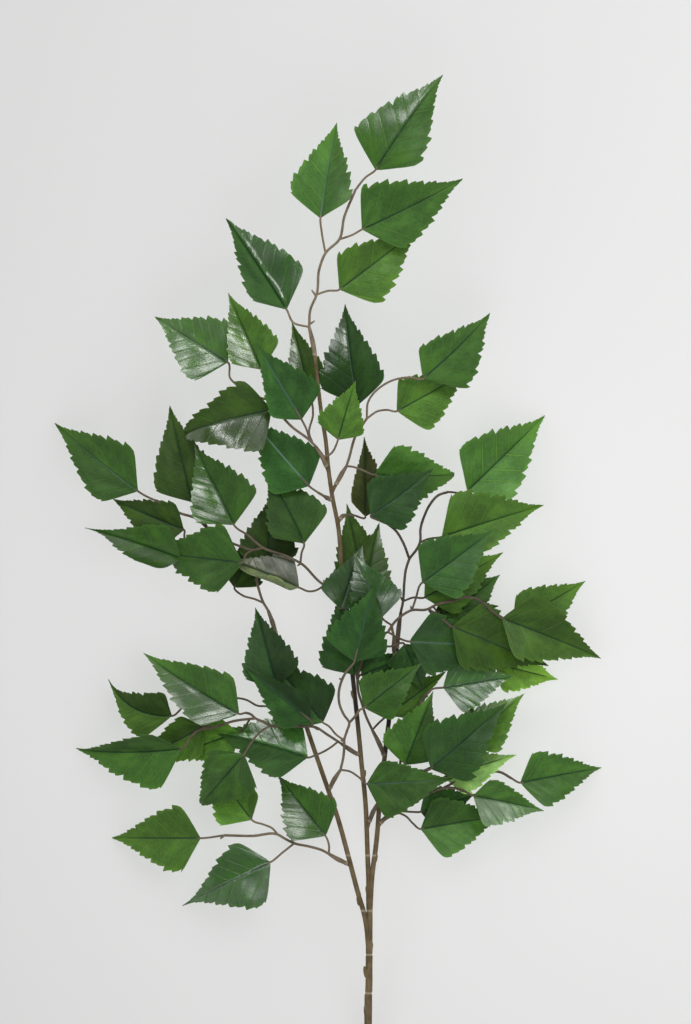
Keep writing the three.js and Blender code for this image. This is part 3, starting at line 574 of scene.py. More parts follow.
# %% [markdown]
# A blade on the real spray isn't flat: it is folded along the midrib like an open book, arches from
# base to tip, swells a little between its side veins, and waves at its edge. Some blades curl more
# on one side, or bend down at the tip. Each of these is one number for a leaf, so that a leaf can be
# compared with the real one and put right without touching the others.

# %% Bends of a leaf
CURL_FROM = 0.3
CRINKLES = 7
CRINKLE = 0.0055


def leaf_frame(base, tip, roll):
    """Directions of a leaf: from base to tip, to its right, and out of its upper face."""
    along = np.subtract(tip, base).astype(float)
    length = np.linalg.norm(along)
    along /= length
    up = np.array([0, 0, 1.0]) - along * along[2]
    up /= np.linalg.norm(up)
    right = np.cross(along, up)
    up = up * math.cos(math.radians(roll)) + right * math.sin(math.radians(roll))
    return along, np.cross(along, up), up, length


def arch(share):
    """From 0 at both ends to 1 in the middle."""
    return 4 * share * (1 - share)


def rolled(out, half, fold, curl):
    """How far across and how high a place on a half blade lies, when the blade folds and curls."""
    straight = CURL_FROM * half
    bend = curl / (half - straight)
    flat = np.minimum(out, straight)
    angle = fold + bend * np.maximum(out - straight, 0)
    across = flat * math.cos(fold) + (np.sin(angle) - math.sin(fold)) / bend
    return across, flat * math.sin(fold) + (math.cos(fold) - np.cos(angle)) / bend


def turned_down(far, lift, length, turned):
    """Bends the end of a blade down: from a share of its length on, by some degrees in all."""
    share, degrees = turned
    start, total = share * length, math.radians(degrees)
    radius = (length - start) / total
    angle = np.maximum(far - start, 0) / radius
    return (np.minimum(far, start) + (radius + lift) * np.sin(angle),
            (radius + lift) * np.cos(angle) - radius)


def crinkled(x, y, folds):
    """Shallow waves in several directions, as thin fabric keeps them: a longer one is also higher."""
    high = 0
    for way, wavelength, start in folds:
        far = x * math.cos(way) + y * math.sin(way)
        high = high + CRINKLE * wavelength * np.sin(2 * math.pi * far / wavelength + start)
    return high


print("a thin fabric keeps", CRINKLES, "waves on each leaf")

# %% [markdown]
# The sheet of a blade is made column by column, from the left edge to the midrib and on to the right
# edge. Each column keeps the same share of the way out, so the columns close up towards the tip.

# %% The leaf's sheet
ACROSS = np.array([0.022, 0.045, 0.075, 0.12, 0.20, 0.32, 0.46, 0.60, 0.74, 0.87, 1.0])
TOOTH_FROM, TOOTH_BAND = 0.8, 0.2
ROW_BEND = 1.35
VEIN_SLOPE = 0.9
SWELL = 0.16
GROOVE = 0.40
GROOVE_WIDE = 0.8
RIDGE_OUT = 1.9
RIPPLES = 2.1
CRINKLE_FROM = 5


def half_columns(leaf, hand, length, wave, lean, folds, rng):
    """The columns of the left (0) or right (1) half blade, from the midrib out."""
    side = 2 * hand - 1
    half, phase = leaf["wide"][hand], hand * PERIOD // 2
    edge, plain, tooth = half_edge(half, phase, leaf["taper"], leaf["corner"][hand], rng)
    for s in ACROSS:
        a = MIDRIB_ROWS + (edge - MIDRIB_ROWS) * s ** ROW_BEND
        out = plain * s + tooth * np.clip((s - TOOTH_FROM) / TOOTH_BAND, 0, 1)
        across, high = rolled(out, half, math.radians(leaf["fold"]), leaf["curl"][hand])
        vein_row = a - VEIN_SLOPE * out / length
        between = 0.5 - 0.5 * np.cos(2 * math.pi * (vein_row * VEINS + phase / PERIOD))
        swell = SWELL * between * np.sqrt(arch(s) + 0.02) * np.minimum(1, plain / half * 1.3)
        ripple = leaf["ripple"] * s * s * np.sin(2 * math.pi * lean * RIPPLES * a + wave[hand])
        ridge = leaf["ridge"][hand] * np.exp(-(out - RIDGE_OUT) ** 2)
        groove = ridge - GROOVE * np.exp(-(out / GROOVE_WIDE) ** 2)
        crinkle = crinkled(a * length, side * out, folds) * np.clip(out / CRINKLE_FROM, 0.15, 1)
        yield side * s, a, side * across, high + swell + ripple + groove + crinkle, vein_row, out


def blade_sheet(leaf, length, rng):
    """The columns of a blade's sheet, with the waves that belong to this leaf alone."""
    wave, lean = rng.uniform(0, 2 * math.pi, 2), rng.uniform(0.7, 1.2)
    folds = np.column_stack([rng.uniform(0, math.pi, CRINKLES), rng.uniform(13, 42, CRINKLES),
                             rng.uniform(0, 2 * math.pi, CRINKLES)])
    left, right = (list(half_columns(leaf, hand, length, wave, lean, folds, rng)) for hand in (0, 1))
    none = np.zeros_like(MIDRIB_ROWS)
    midrib = (0.0, MIDRIB_ROWS, none, none - GROOVE, MIDRIB_ROWS, none)
    return [*left[::-1], midrib, *right]


def placed(leaf, column):
    """Where a column's points lie, with what the materials need: place on the blade, and habit."""
    along, right, up, length = leaf_frame(leaf["base"], leaf["tip"], leaf["roll"])
    s, a, across, high, vein_row, out = column
    far, lift = turned_down(a * length, high + leaf["bow"] * arch(a), length, leaf["turned"])
    points = leaf["base"] + (np.outer(far, along) + np.outer(across + leaf["sway"] * arch(a), right)
                             + np.outer(lift, up))
    habit = [out, np.full_like(a, leaf["pale"]), np.full_like(a, leaf["seed"])]
    return points, np.column_stack([vein_row, np.full_like(a, s), a]), np.column_stack(habit)


print("a blade has", ROWS - 1, "rows of", 2 * len(ACROSS) + 1, "points")

# %% [markdown]
# The real leaves come in several greens, from a deep bluish one to a fresh yellow-green, as if some
# were older than others. Each green has a plain name here, and a leaf takes one of them.

# %% Greens
TINTS = {
    "deep": (0.019, 0.060, 0.011),
    "mid": (0.032, 0.092, 0.013),
    "fresh": (0.054, 0.135, 0.016),
    "lime": (0.092, 0.200, 0.024),
    "pale": (0.200, 0.380, 0.105),
    "olive": (0.027, 0.066, 0.007),
    "blue": (0.021, 0.068, 0.014),
    "brown": (0.038, 0.050, 0.010),
    "faded": (0.150, 0.200, 0.095),
}
print("greens:", ", ".join(TINTS))

# %% [markdown]
# A sheet alone would be a leaf with no thickness. So it is doubled: one copy of its points a little
# above it, one below, and a rim between their edges. The faces of each half take the coat that the
# half has on the real leaf, glossy or dull, and the lower side takes the dullest.

# %% The closed blade
THICK = 0.5
MATTE_FROM = 0.42
GLOSSY, UNDERSIDE, DULL = 0, 1, 2
COATS = [leaf_face, leaf_back, leaf_dull]


def by_side(across, pair):
    """A value for each point: the first of the pair on the left half, the second on the right."""
    left, right = pair
    return np.where(across > 0, right, np.where(across < 0, left, (left + right) / 2))


def fan(centre, row, turned):
    pairs = list(zip(row[:-1], row[1:]))
    return [[centre, b, a] if turned else [centre, a, b] for a, b in pairs]


def normals(points, faces):
    """At each point, the mean of its faces' directions."""
    corners = np.array([face[:3] for face in faces])
    first, second, third = (points[corners[:, k]] for k in range(3))
    flat = np.cross(second - first, third - first)
    normal = np.zeros_like(points)
    for k in range(3):
        np.add.at(normal, corners[:, k], flat)
    return normal / np.linalg.norm(normal, axis=1)[:, None]


def sheet_faces(rows, wide):
    """The faces of a grid of points that is followed by its base and its tip, and its edge."""
    grid = np.arange(rows * wide).reshape(rows, wide)
    base, tip = rows * wide, rows * wide + 1
    quads = np.stack([grid[:-1, :-1], grid[:-1, 1:], grid[1:, 1:], grid[1:, :-1]], 2).reshape(-1, 4)
    faces = quads.tolist() + fan(base, grid[0], True) + fan(tip, grid[-1], False)
    return faces, [base, *grid[:, -1], tip, *grid[::-1, 0]]


def doubled(points, faces, edge):
    """A sheet with its thickness: all its points, the faces below, and the faces of the rim."""
    below = len(points)
    back = [[i + below for i in face][::-1] for face in faces]
    rim = [[a, a + below, b + below, b] for a, b in zip(edge, edge[1:] + edge[:1])]
    half_thick = normals(points, faces) * THICK / 2
    return np.vstack([points + half_thick, points - half_thick]), back, rim


def colour_and_gloss(leaf, across):
    """What the leaf's green and coat are at each point. The green is scaled by the leaf's light: partly its
    own lighter or darker green, partly painted shade and light on its halves.
    """
    light, rough = by_side(across, leaf["light"]), by_side(across, leaf["rough"])
    # Painted shade and light: each half's green is scaled by its light factor.
    tint = np.column_stack([np.outer(light, TINTS[leaf["tint"]]), np.ones_like(light)])
    # The third number is how much painted highlight the midrib takes.
    gloss = [rough, np.full_like(rough, leaf["veined"]), np.full_like(rough, leaf["rib"])]
    return {"gloss": np.column_stack(gloss), "tint": tint}


def blade(leaf):
    """A closed blade with two faces and a rim, and what its materials need to know."""
    along, _, up, length = leaf_frame(leaf["base"], leaf["tip"], leaf["roll"])
    columns = blade_sheet(leaf, length, np.random.default_rng(leaf["seed"]))
    sheet, place, habit = (np.stack(rows, 1) for rows in zip(*(placed(leaf, c) for c in columns)))
    far, lift = turned_down(length, 0, length, leaf["turned"])
    end = leaf["base"] + along * far + up * lift
    points = np.vstack([sheet.reshape(-1, 3), [leaf["base"]], [end]])
    place = np.vstack([place.reshape(-1, 3), [[0, 0, 0]], [[1, 0, 1]]])
    habit = np.vstack([habit.reshape(-1, 3), [[0, leaf["pale"], leaf["seed"]]] * 2])
    upper, edge = sheet_faces(*sheet.shape[:2])
    shell, back, rim = doubled(points, upper, edge)
    middle = place[[f[0] for f in upper], 1] + place[[f[2] for f in upper], 1]
    left_matte, right_matte = leaf["rough"] > MATTE_FROM
    matte = np.where(middle > 0, right_matte, left_matte)
    finish = np.where(matte, DULL, GLOSSY).tolist() + [UNDERSIDE] * len(back) + [GLOSSY] * len(rim)
    facts = {"place": place, "habit": habit} | colour_and_gloss(leaf, place[:, 1])
    return shell, upper + back + rim, finish, {name: np.tile(rows, (2, 1)) for name, rows in facts.items()}


print("fabric of", THICK, "mm, matte where its roughness is over", MATTE_FROM)

# %% [markdown]
# Every side piece is put together as a maker would do it: a spindle-shaped sleeve is pushed on a
# stub of the stem, covered wires go on from it, pruned spurs are left at some forks, and each leaf's
# own thin wire leaves the nearest wire and ends glued behind the midrib. Only its ends and bends are
# given, so a helper looks for the place where a leaf's wire starts, and another fills in heights.

# %% Wires of a spray
SPRAY_WIRE = 1.05
LEAF_WIRE = 0.85
SPUR = (0.95, 0.85, 0.55)
SLEEVE_LIP = ((-0.6, 1.62), (-0.3, 1.92), (0.5, 1.95), (0.9, 1.70), (1.8, 1.74))
SLEEVE_MIDDLE, SLEEVE_END = 1.95, 1.2
GLUED = 11.0
GLUED_END = ((3.0, 0.8, 0.35), (GLUED * 0.6, 0.62, 0.42), (GLUED, 0.3, 0.36))


def nearest(laid, place):
    """The nearest point, seen from above, on the wires laid so far."""
    best = None
    for wire in laid:
        for a, b in zip(wire, wire[1:]):
            a, b = np.array(a[:3], float), np.array(b[:3], float)
            span = (b - a)[:2]
            t = min(1, max(0, (np.subtract(place, a[:2]) @ span) / (span @ span)))
            point = a + (b - a) * t
            far = np.linalg.norm(point[:2] - place)
            if best is None or far < best[0]:
                best = (far, point)
    return best[1].tolist()


def with_heights(start, bends, end):
    """Gives a height to each bend that is given only as seen from above."""
    path = [start, *bends, end]
    steps = [math.dist(a[:2], b[:2]) for a, b in zip(path, path[1:])]
    run = np.concatenate([[0], np.cumsum(steps)])
    rise = (end[2] - start[2]) / run[-1]
    return [[p[0], p[1], p[2] if len(p) > 2 else start[2] + rise * r] for p, r in zip(path, run)]


def sleeve_rows(stub, middle, end):
    """The sleeve's skin: a lip over the stub, a neck, a spindle, and a soft end on its wire."""
    seat = np.array(stub[1], float)
    way = seat - stub[0]
    way /= np.linalg.norm(way)
    lip = [[*(seat + way * far), radius] for far, radius in SLEEVE_LIP]
    return lip + [[*middle, SLEEVE_MIDDLE], [*end, SLEEVE_END]]


def glued_end(leaf):
    """A leaf's wire where it is glued behind the midrib: how far along, how thick and how deep."""
    along, right, up, length = leaf_frame(leaf["base"], leaf["tip"], leaf["roll"])
    rows = []
    for far, radius, deep in GLUED_END:
        arched = arch(far / length)
        lift = leaf["bow"] * arched - deep - GROOVE
        place = leaf["base"] + along * far + right * leaf["sway"] * arched + up * lift
        rows.append([*place, radius])
    return rows


print("a leaf's wire is glued behind the blade for", GLUED, "mm")

# %% [markdown]
# A spray is given as lists of places in millimetres. A leaf says where its wire leaves the others,
# how that bends, where the blade starts and ends, and how wide its left and right halves are. Apart
# from that it only says in what it differs from a usual leaf. A value that differs between its two
# halves is given as a pair, the left one first.

# %% Putting a spray together
# A leaf's light scales its green: partly its own lighter or darker green, partly painted shade and light on
# each half.
USUAL = {"roll": 0, "fold": 12, "bow": 4, "sway": 0, "curl": -0.15, "ripple": 0.5, "taper": 1.0,
         "corner": CORNER, "turned": (0.9, 5), "tint": "mid", "light": 1.0, "pale": 0.3,
         "veined": 0.75, "rib": 0.0, "ridge": 0.16, "rough": 0.6}
BY_HALF = ("curl", "corner", "light", "ridge", "rough")
# How pale a sleeve's lip is painted, fading over LIP mm: partly its own paler plastic, partly a painted
# highlight.
LIP, LIP_PALE_AND_HIGHLIGHT = 1.6, 0.7
SLEEVE_SIDES, WIRE_SIDES, SPUR_SIDES = 14, 10, 8
SEATS = STUBS | {
    "crown_spray": [row[:3] for row in CENTRE_LEG[-2:]],
    "left_fork_tip_spray": [row[:3] for row in LEFT_LEG[-2:]],
    "right_fork_tip_spray": [row[:3] for row in RIGHT_LEG[-2:]],
}


def leaf(name, fork, bends, base, tip, wide, **own):
    """One leaf of a spray, in mm and degrees, with its green and its gloss."""
    if own.keys() - USUAL.keys():
        raise TypeError(name + " has a value that leaves don't have")
    made = USUAL | own
    for value in BY_HALF:
        made[value] = np.broadcast_to(made[value], 2)
    return made | {"fork": fork, "bends": bends, "base": np.array(base, float), "tip": tip, "wide": wide,
                   "seed": sum(map(ord, name)) * 7 % 1000}


# A spray's shaded share is painted shade: it darkens its sleeve and all its covered wires, as the shade they
# lie in among the leaves.
def make_spray(node_name, sleeve, wires, leaves, spurs=(), shaded=0.45):
    """Makes the two pieces of a spray: its covered wires, and its leaves."""
    pile, blades = Pile(), Pile()
    rows = sleeve_rows(SEATS[node_name], sleeve, wires[0][0])
    points, faces, skin = tube(rows, SLEEVE_SIDES)
    # The lip of the sleeve is painted paler: partly its own paler plastic, partly a painted highlight.
    paled = LIP_PALE_AND_HIGHLIGHT * np.exp(-(skin[:, 2] / LIP) ** 2)
    pile.add(points, faces, skin=skin, wear=paled_and_shaded(points, paled, shaded))
    paths = [([[*p, SPRAY_WIRE] for p in wire], WIRE_SIDES) for wire in wires]
    for root, point in spurs:
        spur = [root, np.add(root, point) / 2, point]
        paths.append(([[*p, radius] for p, radius in zip(spur, SPUR)], SPUR_SIDES))
    laid = [rows, *wires]
    for item in leaves:
        path = with_heights(nearest(laid, item["fork"]), item["bends"], item["base"].tolist())
        laid.append(path)
        paths.append(([[*p, LEAF_WIRE] for p in path] + glued_end(item), WIRE_SIDES))
        points, faces, finish, facts = blade(item)
        blades.add(points, faces, finish, **facts)
    for rows, sides in paths:
        points, faces, skin = tube(rows, sides)
        # Painted shade on every wire of the spray, by its shaded share.
        pile.add(points, faces, skin=skin, wear=paled_and_shaded(points, shaded=shaded))
    made = [pile.build(node_name + "_wires", [wire_plastic], node_name, "stem"),
            blades.build(node_name + "_leaves", COATS, node_name, "leaf")]
    print(node_name + ":", len(wires), "wires,", len(leaves), "leaves,",
          sum(len(piece.data.polygons) for piece in made), "faces")


print("usual fold of a leaf:", USUAL["fold"], "degrees on each side")

# %% [markdown]
# The crown goes on from the centre leg's own end. Its five large leaves spread like a hand, the
# top one reaching furthest.

# %% Crown spray
make_spray("crown_spray", sleeve=(-12.4, 211, 57.4), shaded=0.0, wires=[
    [(-15, 222, 57.8), (-14, 236, 58.4), (-9, 248, 58.6), (-7, 268, 57.6), (-2, 281, 56.4), (9, 292, 54.5),
     (13, 310, 50.5), (22, 332, 45)],
], spurs=[[(-9.6, 247, 58.6), (-13, 251.5, 60)], [(-15, 224, 57.9), (-10.6, 227, 59)]], leaves=[
    leaf("crown 1", (22, 332), [(30, 342)], (38, 348, 41), (92, 425, 24), (31, 28),
         roll=-10, fold=14, bow=8, corner=(0.2, 0.26), light=(1.2, 1.1), veined=1.3, rough=(0.24, 0.48)),
    leaf("crown 2", (-2, 281), [(-5, 298)], (-6, 309, 51), (7, 387, 20), (27, 22.5),
         roll=-8, fold=14, bow=6, light=(1.6, 1.15), pale=0.6, veined=1.1, rib=0.8, rough=(0.6, 0.44)),
    leaf("crown 3", (9, 292), [(20, 296)], (27, 300, 53), (108, 341, 40), (32, 27),
         roll=12, bow=5, corner=(0.17, 0.3), light=(1.1, 1.15), pale=0.4, veined=0.8),
    leaf("crown 4", (-9, 248), [(0, 251)], (9, 252, 52), (74, 303, 31), (24.5, 27),
         roll=12, bow=3, tint="fresh", corner=(0.2, 0.26), light=(0.85, 1.1), veined=1.0, rough=(0.6, 0.48)),
    leaf("crown 5", (-15, 222), [(-28, 226)], (-33, 236, 54), (-82, 310, 24), (22, 29),
         roll=10, fold=24, bow=3, tint="deep", light=(1.25, 1.3), pale=0.4, ridge=(0.16, 0.9),
         rough=(0.48, 0.25)),
])

# %% [markdown]
# The upper left spray crosses over the single left leaf. One of its leaves lies face down, and
# shows its dull bluish back with the glued wire end.

# %% Upper left spray
make_spray("upper_left_spray", sleeve=(-4.6, 118.6, 62.4), shaded=0.2, wires=[
    [(-10, 127, 64), (-14.5, 131.5, 64.5), (-30, 143.5, 60), (-41, 156.5, 56), (-46.5, 164.2, 54),
     (-52, 165, 53), (-62, 168, 50), (-73, 176, 47)],
], leaves=[
    leaf("upper left 1", (-73, 176), [(-78, 181)], (-80, 194, 43), (-139, 231, 22), (27.5, 27),
         roll=2, bow=2, light=1.25, veined=1.6, rough=(0.24, 0.36)),
    leaf("upper left 2", (-46.5, 164), [(-50.5, 178)], (-53, 188, 52), (-80, 250, 38), (21, 22),
         fold=20, bow=2, tint="fresh", light=0.95, veined=1.2, rough=(0.22, 0.6)),
    leaf("upper left 3", (-46.5, 164.2), [(-44.5, 160)], (-45, 156, 60), (-123, 135.5, 62), (31, 27),
         roll=6, fold=14, bow=9, tint="olive", light=(0.8, 0.9), ripple=1.4, turned=(0.58, 85),
         rough=(0.22, 0.6)),
    leaf("upper left 4", (-14.5, 131.5), [(-17, 140)], (-21, 148, 71), (-57, 208, 70), (26, 19),
         roll=180, fold=10, bow=-4, tint="blue", light=(0.95, 1.4), veined=0.5, rib=0.3),
    leaf("upper left 5", (-12, 129), [(-15, 137), (-12, 152)], (-14, 168, 45), (-29, 227, 36), (14, 17),
         fold=18, bow=3, tint="olive", light=(1.1, 1.0), pale=0.6, rough=(0.26, 0.6)),
    leaf("upper left 6", (-4.6, 118.6), [(1, 120)], (8, 132, 67), (22, 179, 68), (20, 18),
         roll=-4, fold=10, tint="fresh", light=0.95, pale=0.5),
])

# %% [markdown]
# The upper right spray's large leaf lies behind the others and is dark, and its lowest leaf
# passes under the right fork's.

# %% Upper right spray
make_spray("upper_right_spray", sleeve=(10.8, 104.6, 56.6), shaded=0.2, wires=[
    [(14.8, 111, 57), (17, 118, 56.8), (22, 135, 55.6), (31, 149, 54)],
], leaves=[
    leaf("upper right 1", (22, 135), [(23, 148)], (24, 160, 42), (13.5, 241, 34), (28, 25),
         roll=-4, fold=20, bow=9, tint="deep", light=(0.75, 0.85), veined=0.8, rough=(0.24, 0.6)),
    leaf("upper right 2", (31, 149), [(32, 162), (48, 178), (65, 182)], (76, 181, 50), (130, 234, 22),
         (22.5, 27.5),
         roll=18, fold=14, bow=5, corner=(0.15, 0.3), light=(1.15, 1.0), pale=0.5, veined=0.9,
         rough=(0.48, 0.6)),
    leaf("upper right 3", (31, 149), [(40, 155), (47, 156)], (55, 155, 42), (115, 190, 18), (22, 25),
         roll=12, bow=3, tint="fresh", corner=(0.18, 0.24), light=(0.95, 1.15), taper=1.15, veined=0.9),
    leaf("upper right 4", (14.8, 111), [(20, 110.5), (27, 108)], (37, 104, 50), (106, 104, 28), (25, 27),
         roll=8, bow=5, light=(1.4, 1.0), pale=0.9, turned=(0.72, 50), rough=(0.6, 0.48)),
])

# %% [markdown]
# A single leaf on a short wire, also face down.

# %% Left leaf
make_spray("left_leaf", sleeve=(-0.6, 85.6, 57.8), wires=[[(-3, 87, 58.8), (-8, 90, 60)]], leaves=[
    leaf("left leaf", (-8, 90), [], (-15, 95, 61), (-62, 150, 52), (24, 26),
         roll=172, fold=10, bow=-4, tint="blue", light=(1.05, 1.5), veined=0.9, rib=0.7),
])

# %% [markdown]
# Another single leaf stands behind the right side, narrow and dark.

# %% Right leaf
make_spray("right_leaf", sleeve=(12, 71.2, 51), wires=[[(14.5, 72, 50.4), (20, 72, 47)]], leaves=[
    leaf("right leaf", (20, 72), [], (30, 70.5, 40), (29, 134.5, 35), (12, 20),
         roll=2, fold=22, bow=3, tint="brown", light=(0.95, 0.75)),
])

# %% [markdown]
# The left upper spray is one of the two longest. Some of its leaves curl hard: they show a pale
# underside at the edge, and their tips run out long and thin.

# %% Left upper spray
make_spray("left_upper_spray", sleeve=(4.6, 13.2, 51.6), wires=[
    [(-0.4, 15, 52), (-3, 16.2, 52), (-22, 33.6, 52.5), (-33, 39, 53), (-52, 46, 54.5), (-64, 56, 55)],
    [(-52, 46, 54.5), (-60, 44, 51), (-70, 47, 46), (-84, 52, 44), (-100, 55, 43), (-108, 54, 42),
     (-113, 50, 41)],
    [(-84, 52, 44), (-96, 61, 42), (-106, 69.5, 41), (-117, 73, 40), (-135, 82, 38.5)],
], spurs=[[(-1.6, 15.6, 52), (-3.6, 20, 53)], [(-21.5, 33.2, 52.5), (-24.4, 31.4, 54)]], leaves=[
    leaf("left upper 1", (-135, 82), [], (-152, 91, 36), (-220, 146, 0.5), (24.5, 28),
         roll=-14, fold=20, bow=5, light=(0.8, 0.95), pale=0.7, veined=1.0, rib=0.5, ridge=(0.16, 0.5)),
    leaf("left upper 2", (-64, 56), [], (-75, 64, 56), (-107, 128, 44), (27.5, 28.5),
         roll=2, fold=18, bow=5, light=(0.95, 0.8), veined=0.9, rough=(0.22, 0.6)),
    leaf("left upper 3", (-96, 61), [(-102, 72)], (-108, 82, 38), (-127, 160, 24), (26, 22),
         roll=-8, tint="olive", light=0.9),
    leaf("left upper 4", (-22, 33.6), [(-21, 42)], (-19, 49, 54), (-50, 104, 33), (24, 27),
         roll=16, fold=14, bow=9, light=(0.6, 0.75), veined=0.6),
    leaf("left upper 5", (-113, 50), [(-115, 55)], (-115, 60, 39), (-173, 85, 18), (22, 17.5),
         roll=-10, tint="olive", light=(1.0, 0.75)),
    leaf("left upper 6", (-108, 54), [(-112, 42)], (-117, 37, 43), (-195, 62, 26), (28, 20),
         roll=18, fold=24, light=(0.75, 0.85), taper=1.5, curl=(0.9, -0.1), rough=(0.3, 0.48)),
    leaf("left upper 7", (-60, 44), [(-66, 40)], (-68, 34, 58), (-132, 41, 26), (26, 28),
         bow=13, turned=(0.55, 80), light=(0.8, 0.9)),
    leaf("left upper 8", (-3, 16.2), [(-8, 12.5), (-15, 11)], (-23, 14, 52.5), (-82, 36, 40), (17, 19),
         roll=26, fold=20, bow=3, tint="faded", light=(0.8, 0.3), pale=0.0, curl=(2.6, -0.2),
         rough=(0.6, 0.42)),
    leaf("centre 3", (4.6, 13.2), [(6, 6)], (10, -3, 52), (28, 48, 53), (20, 22),
         roll=-2, fold=8, bow=5, tint="deep", light=0.85, rough=0.36),
])

# %% [markdown]
# The left leg ends in two leaves that lie behind the spray above.

# %% Left fork tip spray
make_spray("left_fork_tip_spray", sleeve=(-44.6, -13.4, 40.2), wires=[
    [(-48, -4, 41), (-51.5, 1.6, 41.2), (-55.5, 13, 41), (-57.6, 21.6, 40.6)],
], leaves=[
    leaf("left fork tip 1", (-51.5, 1.6), [(-58, 4.5), (-69, 8)], (-75, 14, 33), (-59, 54, 19), (18, 18),
         roll=12, bow=2, tint="olive", light=(0.55, 0.8)),
    leaf("left fork tip 2", (-57.6, 21.6), [], (-49, 29, 39), (-46, 89, 33), (23, 23),
         fold=8, bow=3, tint="olive", light=(0.75, 0.4), rough=(0.48, 0.6)),
])

# %% [markdown]
# The right leg ends in a spray with three large leaves, the outermost of which hangs down to the
# table.

# %% Right fork tip spray
make_spray("right_fork_tip_spray", sleeve=(56.6, -18, 43.4), shaded=0.65, wires=[
    [(58.2, -6, 44.8), (60, 3, 45.6), (61, 18, 46.5), (62.4, 29, 47), (65, 37, 47.4)],
    [(65, 37, 47.4), (72, 46.5, 46), (73.5, 50, 45.4), (74, 61, 43), (77, 71, 40.6), (82, 81, 38),
     (88, 87.6, 35.6), (96, 90.4, 33)],
    [(65, 37, 47.4), (60, 50, 53), (54, 59.6, 57), (48, 64.6, 59)],
], spurs=[[(60, 3, 45.6), (57.8, 7, 47)]], leaves=[
    leaf("right fork tip 1", (96, 90.4), [], (111.5, 91, 31), (174.5, 152, 0.5), (29, 28.5),
         light=(1.4, 1.9), pale=0.7, veined=1.2, rough=(0.48, 0.44)),
    leaf("right fork tip 2", (73.5, 50), [(79, 52.5)], (91, 54.5, 45), (173, 80, 22), (30, 25),
         roll=-8, fold=16, tint="fresh", light=(0.85, 1.05), pale=0.5, veined=0.9, rough=(0.6, 0.48)),
    leaf("right fork tip 3", (48, 64.6), [(41, 67.5)], (34, 71.5, 60.5), (84, 109, 50), (24, 23.5),
         roll=10, fold=10, bow=5, tint="blue", light=0.8, veined=0.5, rough=0.48),
    leaf("right fork tip 4", (60, 3), [(68, 6)], (77, 6, 48), (140, 42, 36), (23, 23),
         roll=8, fold=10, bow=3, tint="fresh", light=(1.0, 0.75), pale=0.9, rough=(0.46, 0.6)),
])

# %% [markdown]
# The right middle spray is the fullest: twelve leaves, half of them behind others and dark. Its
# long wire passes over the lower ones.

# %% Right mid spray
make_spray("right_mid_spray", sleeve=(41, -111, 36.4), shaded=0.55, wires=[
    [(35.4, -100, 38.4), (30, -88, 40), (27.2, -79, 41.4), (24.4, -70, 43), (23.6, -60, 45), (27, -46, 49),
     (36, -31, 54), (44, -23, 57), (48, -21.4, 58)],
    [(48, -21.4, 58), (52, -15, 58.6), (58, -9, 59), (67, -4, 59), (78, -3.6, 58), (88, 1, 57),
     (100, 3.6, 55.5), (110, 6.4, 53), (117, 5.6, 52), (124, 1.6, 50), (130, -4, 48)],
], spurs=[[(67, -4, 59), (66, -0.6, 60)]], leaves=[
    leaf("right mid 1", (67, -4), [(70, 5)], (75, 18, 63), (132, 60, 50), (26, 27),
         roll=2, bow=6, tint="deep", light=(1.35, 1.5), veined=1.2, rough=(0.48, 0.44)),
    leaf("right mid 2", (130, -4), [], (139, -10.5, 46), (219, -43, 18), (27, 26.5),
         roll=-8, fold=14, bow=5, tint="olive", light=(1.1, 1.5), rough=(0.6, 0.44)),
    leaf("right mid 3", (130, -4), [(138, -12)], (148, -15, 30), (207, 19, 4), (19, 24),
         bow=3, tint="fresh", light=0.9, pale=0.9, rough=(0.48, 0.6)),
    leaf("right mid 4", (80, -3), [(86, -6.6)], (99, -17, 58), (177, -49, 22), (27, 27),
         roll=-6, fold=6, bow=0, tint="olive", light=1.1, veined=0.7, rough=(0.6, 0.48)),
    leaf("right mid 5", (48, -21.4), [(56, -26)], (65, -29, 57), (134, -32, 34), (24.5, 25),
         roll=4, bow=5, tint="blue", light=(0.85, 0.8), rib=0.5, rough=(0.48, 0.6)),
    leaf("right mid 6", (84, -1), [(88, -6)], (92, -8, 40), (138, 24, 24), (22, 22),
         roll=10, fold=10, bow=3, light=(0.75, 0.85), pale=0.7),
    leaf("right mid 7", (80, -3.4), [(82, -6)], (85, -7, 37), (137, -1, 16), (18, 18),
         fold=10, bow=2, light=0.8, pale=0.6),
    leaf("right mid 8", (36, -31), [(49, -33)], (61, -31, 52.5), (76, -68, 40), (18, 18),
         fold=10, bow=2, tint="deep", light=(0.9, 1.05), rough=(0.48, 0.6)),
    leaf("right mid 9", (23.6, -62), [], (22.5, -56, 45), (8, 10, 49.5), (26, 22),
         fold=8, bow=2, tint="blue", light=0.8, rough=0.48),
    leaf("right mid 10", (23.6, -60), [], (26, -56, 39), (69, -40, 31), (14, 14),
         fold=4, bow=0, tint="deep", light=(1.6, 1.4)),
    leaf("right mid 11", (35.4, -100), [(41, -94)], (48, -88, 41), (95, -53, 30), (18, 11),
         roll=10, fold=5, bow=2, tint="fresh", light=(0.7, 0.9), pale=0.9),
    leaf("right mid 12", (95, -14), [(104, -28), (120, -42)], (134, -47, 24), (184.5, -60, 10), (18, 19.5),
         fold=10, bow=2, tint="lime", light=(1.9, 1.5), pale=0.5, veined=1.0),
])

# %% [markdown]
# Two leaves close to the centre leg, behind the others.

